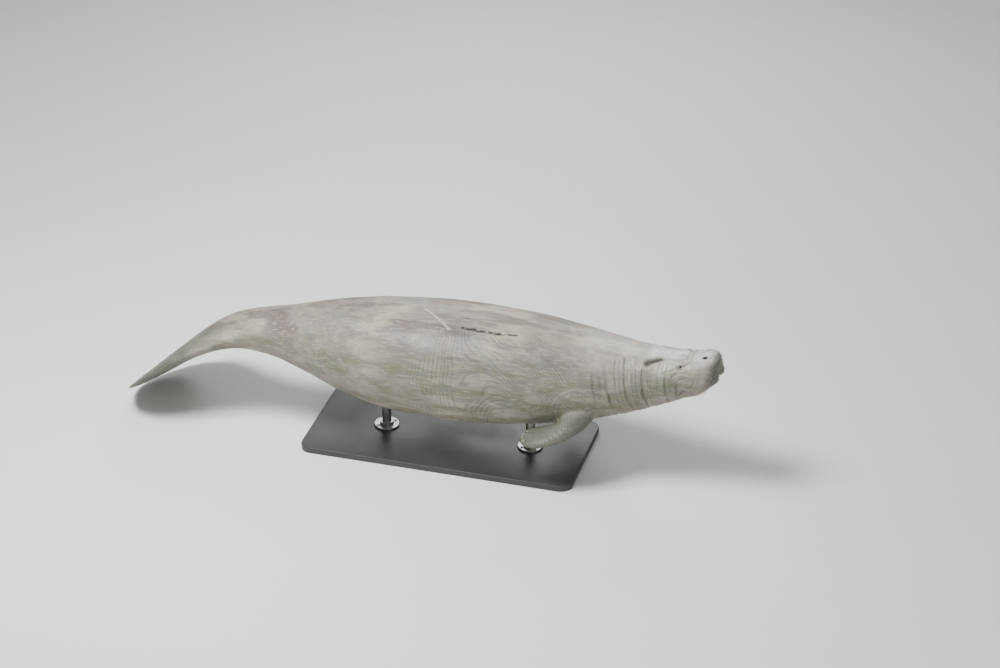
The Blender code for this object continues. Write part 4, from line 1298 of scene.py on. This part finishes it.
coats = dict(
    powderCoat=dict(tones=((0.028, 0.029, 0.031), (0.046, 0.046, 0.046), (0.070, 0.070, 0.069)),
                    roughness=0.40, pebble=0.0011, bump=0.00016),
    blackRubber=dict(tones=((0.016, 0.016, 0.016), (0.026, 0.026, 0.025), (0.040, 0.039, 0.038)),
                     roughness=0.62, pebble=0.0007, bump=0.0001),
    dust=(0.35, 0.40, 0.75, 16.0, 6.0), dustShare=0.5, dustRoughness=0.14,
    worn=(0.06, 0.62, 0.78, 17.0, 5.0), wornShare=0.30, wornStretch=(1.0, 4.0, 1.0),
)


def turnProfile(name, middle, profile, turns):
    # a disc extruded and scaled step by step
    (radius, base), *following = profile
    deselect()
    bpy.ops.mesh.primitive_circle_add(vertices=turns, radius=radius, fill_type="NGON")
    piece = bpy.context.active_object
    piece.name = piece.data.name = name
    bpy.ops.object.mode_set(mode="EDIT")
    bpy.ops.mesh.select_all(action="SELECT")
    for nextRadius, nextHeight in following:
        scale = nextRadius / radius
        bpy.ops.mesh.extrude_region_move(TRANSFORM_OT_translate=dict(value=(0, 0, nextHeight - base)))
        bpy.ops.transform.resize(value=(scale, scale, 1), center_override=(0, 0, 0))
        radius, base = nextRadius, nextHeight
    bpy.ops.mesh.select_all(action="SELECT")
    bpy.ops.mesh.normals_make_consistent(inside=False)
    bpy.ops.object.mode_set(mode="OBJECT")
    setCorners(piece, corners(piece) + np.array(middle))
    shadeSoft(piece, stand["sharpAngle"])
    return piece


def modelScrew():
    # a button head with a six-sided recess
    piece = turnProfile("screwPattern", (0, 0, 0), stand["screw"], stand["screwTurns"])
    deselect()
    bpy.ops.mesh.primitive_cylinder_add(vertices=6, radius=stand["recess"], depth=stand["recessDepth"] * 2,
                                        location=(0, 0, stand["screw"][-1][1]))
    cutter = bpy.context.active_object
    applyModifier(piece, "BOOLEAN", operation="DIFFERENCE", object=cutter, solver="EXACT")
    bpy.data.objects.remove(cutter)
    return piece


def buildStandPieces():
    pattern = modelScrew()
    steel, rubber = [], []
    for rod in stand["rods"]:
        low, high = boxOf(f"stand_flange_{rod}")
        middle = np.array(((low[0] + high[0]) / 2, (low[1] + high[1]) / 2, high[2] + stand["gap"]))
        steel.append(turnProfile(f"collar_{rod}", middle, stand["collar"], stand["turns"]))
        for number in range(stand["screws"]):
            turn = math.radians(stand["firstScrew"] + 360 / stand["screws"] * number)
            screw = copyPiece(pattern, f"screw_{rod}_{number + 1}")
            spin = np.array(Matrix.Rotation(turn * stand["screwSpin"], 3, "Z"))
            offset = stand["screwRing"] * np.array((math.cos(turn), math.sin(turn), 0))
            setCorners(screw, corners(pattern) @ spin.T + middle + offset)
            shadeSoft(screw, stand["screwAngle"])
            steel.append(screw)
        sleeveFoot = (middle[0], middle[1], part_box(f"stand_rod_{rod}")[1][2] - stand["sleeveBelow"])
        rubber.append(turnProfile(f"sleeve_{rod}", sleeveFoot, stand["sleeve"], stand["turns"]))
    bpy.data.objects.remove(pattern)
    return steel, rubber


def buildSteelMaterial():
    look = steelLook
    material, tree, shader = newMaterial("brushedSteel", Metallic=1.0)
    place = addNode(tree, "TexCoord").outputs["Object"]
    brushed = addNode(tree, "TexNoise", dict(Vector=stretched(tree, place, look["stretch"]),
                                             Scale=look["grainScale"], Detail=3.0)).outputs[0]
    tree.links.new(mixColour(tree, brushed, *look["tones"]), shader.inputs["Base Color"])
    cloud = remap(tree, patches(tree, place, *look["cloud"]), 0.0, 1.0, *look["roughness"])
    rough = calc(tree, "MULTIPLY_ADD", brushed, look["grainRoughness"], cloud)
    tree.links.new(rough, shader.inputs["Roughness"])
    addBump(tree, shader, brushed, look["bump"])
    return material


def buildBlackMaterial(name):
    # powder coat or rubber: fine pebbled surface with a little dust and wear
    look = coats[name]
    material, tree, shader = newMaterial(name)
    place = addNode(tree, "TexCoord").outputs["Object"]
    dust = patches(tree, place, *coats["dust"])
    worn = patches(tree, stretched(tree, place, coats["wornStretch"]), *coats["worn"])
    colour = look["tones"][0]
    for mask, share, tone in ((dust, "dustShare", 1), (worn, "wornShare", 2)):
        colour = mixColour(tree, calc(tree, "MULTIPLY", mask, coats[share]), colour, look["tones"][tone])
    tree.links.new(colour, shader.inputs["Base Color"])
    rough = calc(tree, "MULTIPLY_ADD", dust, coats["dustRoughness"], look["roughness"])
    tree.links.new(rough, shader.inputs["Roughness"])
    noise = addNode(tree, "TexNoise", dict(Vector=place, Scale=1 / look["pebble"], Detail=2.0)).outputs[0]
    addBump(tree, shader, noise, look["bump"])
    return material


steelPieces, rubberPieces = buildStandPieces()
brushedSteel = buildSteelMaterial()
powderCoat = buildBlackMaterial("powderCoat")
blackRubber = buildBlackMaterial("blackRubber")
for piece in steelPieces:
    keepMaterial(piece, brushedSteel)
for piece in rubberPieces:
    keepMaterial(piece, blackRubber)
for name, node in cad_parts.items():
    if name.startswith("stand_"):
        node.material_slots[0].material = powderCoat if name == "stand_base" else brushedSteel
print("stand finished")


# Floor, light and camera

room = dict(
    floorRadius=45, floor=((0.80, 0.80, 0.785), (0.816, 0.816, 0.8007)),
    floorPatch=(0.9, 0.3, 0.7, 20.0, 3.0), wall=(0.86, 0.87, 0.88), wallLight=0.40,
    # name, place, place it shines at, size and power
    lights=(
        ("overhead", (-1.6, -1.6, 5.0), (0.0, 0.0, 0.4), 1.8, 500),
        ("frontFill", (4.5, -4.0, 2.8), (0.6, 0.0, 0.5), 2.5, 70),
        ("rimLight", (-1.0, 5.0, 3.6), (0.2, 0.0, 0.5), 2.5, 120),
    ),
)


def buildFloor():
    deselect()
    bpy.ops.mesh.primitive_circle_add(vertices=96, radius=room["floorRadius"], fill_type="NGON")
    floor = bpy.context.active_object
    floor.name = floor.data.name = "floor"
    material, tree, shader = newMaterial("paleFloor", Roughness=0.75)
    mask = patches(tree, addNode(tree, "TexCoord").outputs["Object"], *room["floorPatch"])
    tree.links.new(mixColour(tree, mask, *room["floor"]), shader.inputs["Base Color"])
    keepMaterial(floor, material)


def buildLights():
    world = bpy.data.worlds.new("studio")
    bpy.context.scene.world = world
    world.use_nodes = True
    background = world.node_tree.nodes["Background"]
    background.inputs["Color"].default_value = (*room["wall"], 1)
    background.inputs["Strength"].default_value = room["wallLight"]
    for name, spot, aim, size, power in room["lights"]:
        deselect()
        turn = (Vector(spot) - Vector(aim)).to_track_quat("Z", "Y").to_euler()
        bpy.ops.object.light_add(type="AREA", location=spot, rotation=turn)
        light = bpy.context.active_object
        light.name = name
        light.data.size = size
        light.data.energy = power


view = dict(turn=16, rise=30, distance=14.0, lens=108.4, target=(0.325, -0.263, 0.791), farthest=200)


def buildCamera():
    turn, rise = math.radians(view["turn"]), math.radians(view["rise"])
    back = Vector((math.sin(turn) * math.cos(rise), -math.cos(turn) * math.cos(rise), math.sin(rise)))
    deselect()
    bpy.ops.object.camera_add(location=Vector(view["target"]) + back * view["distance"],
                              rotation=back.to_track_quat("Z", "Y").to_euler())
    camera = bpy.context.active_object
    camera.data.lens = view["lens"]
    camera.data.clip_end = view["farthest"]
    bpy.context.scene.camera = camera


buildFloor()
buildLights()
buildCamera()

# How the pieces ride on the solid model and which of its nodes they replace

for piece in (skin, muzzleBristles, bodyHairs, *eyes.values(), *nails.values(), *steelPieces, *rubberPieces):
    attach(piece, "root")
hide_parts(*hide["body"], hide["jaw"], *hide["limbs"])
for side, piece in eyes.items():
    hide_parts(f"eye_{side}")
for name, piece in nails.items():
    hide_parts(name)

print("scene ready")
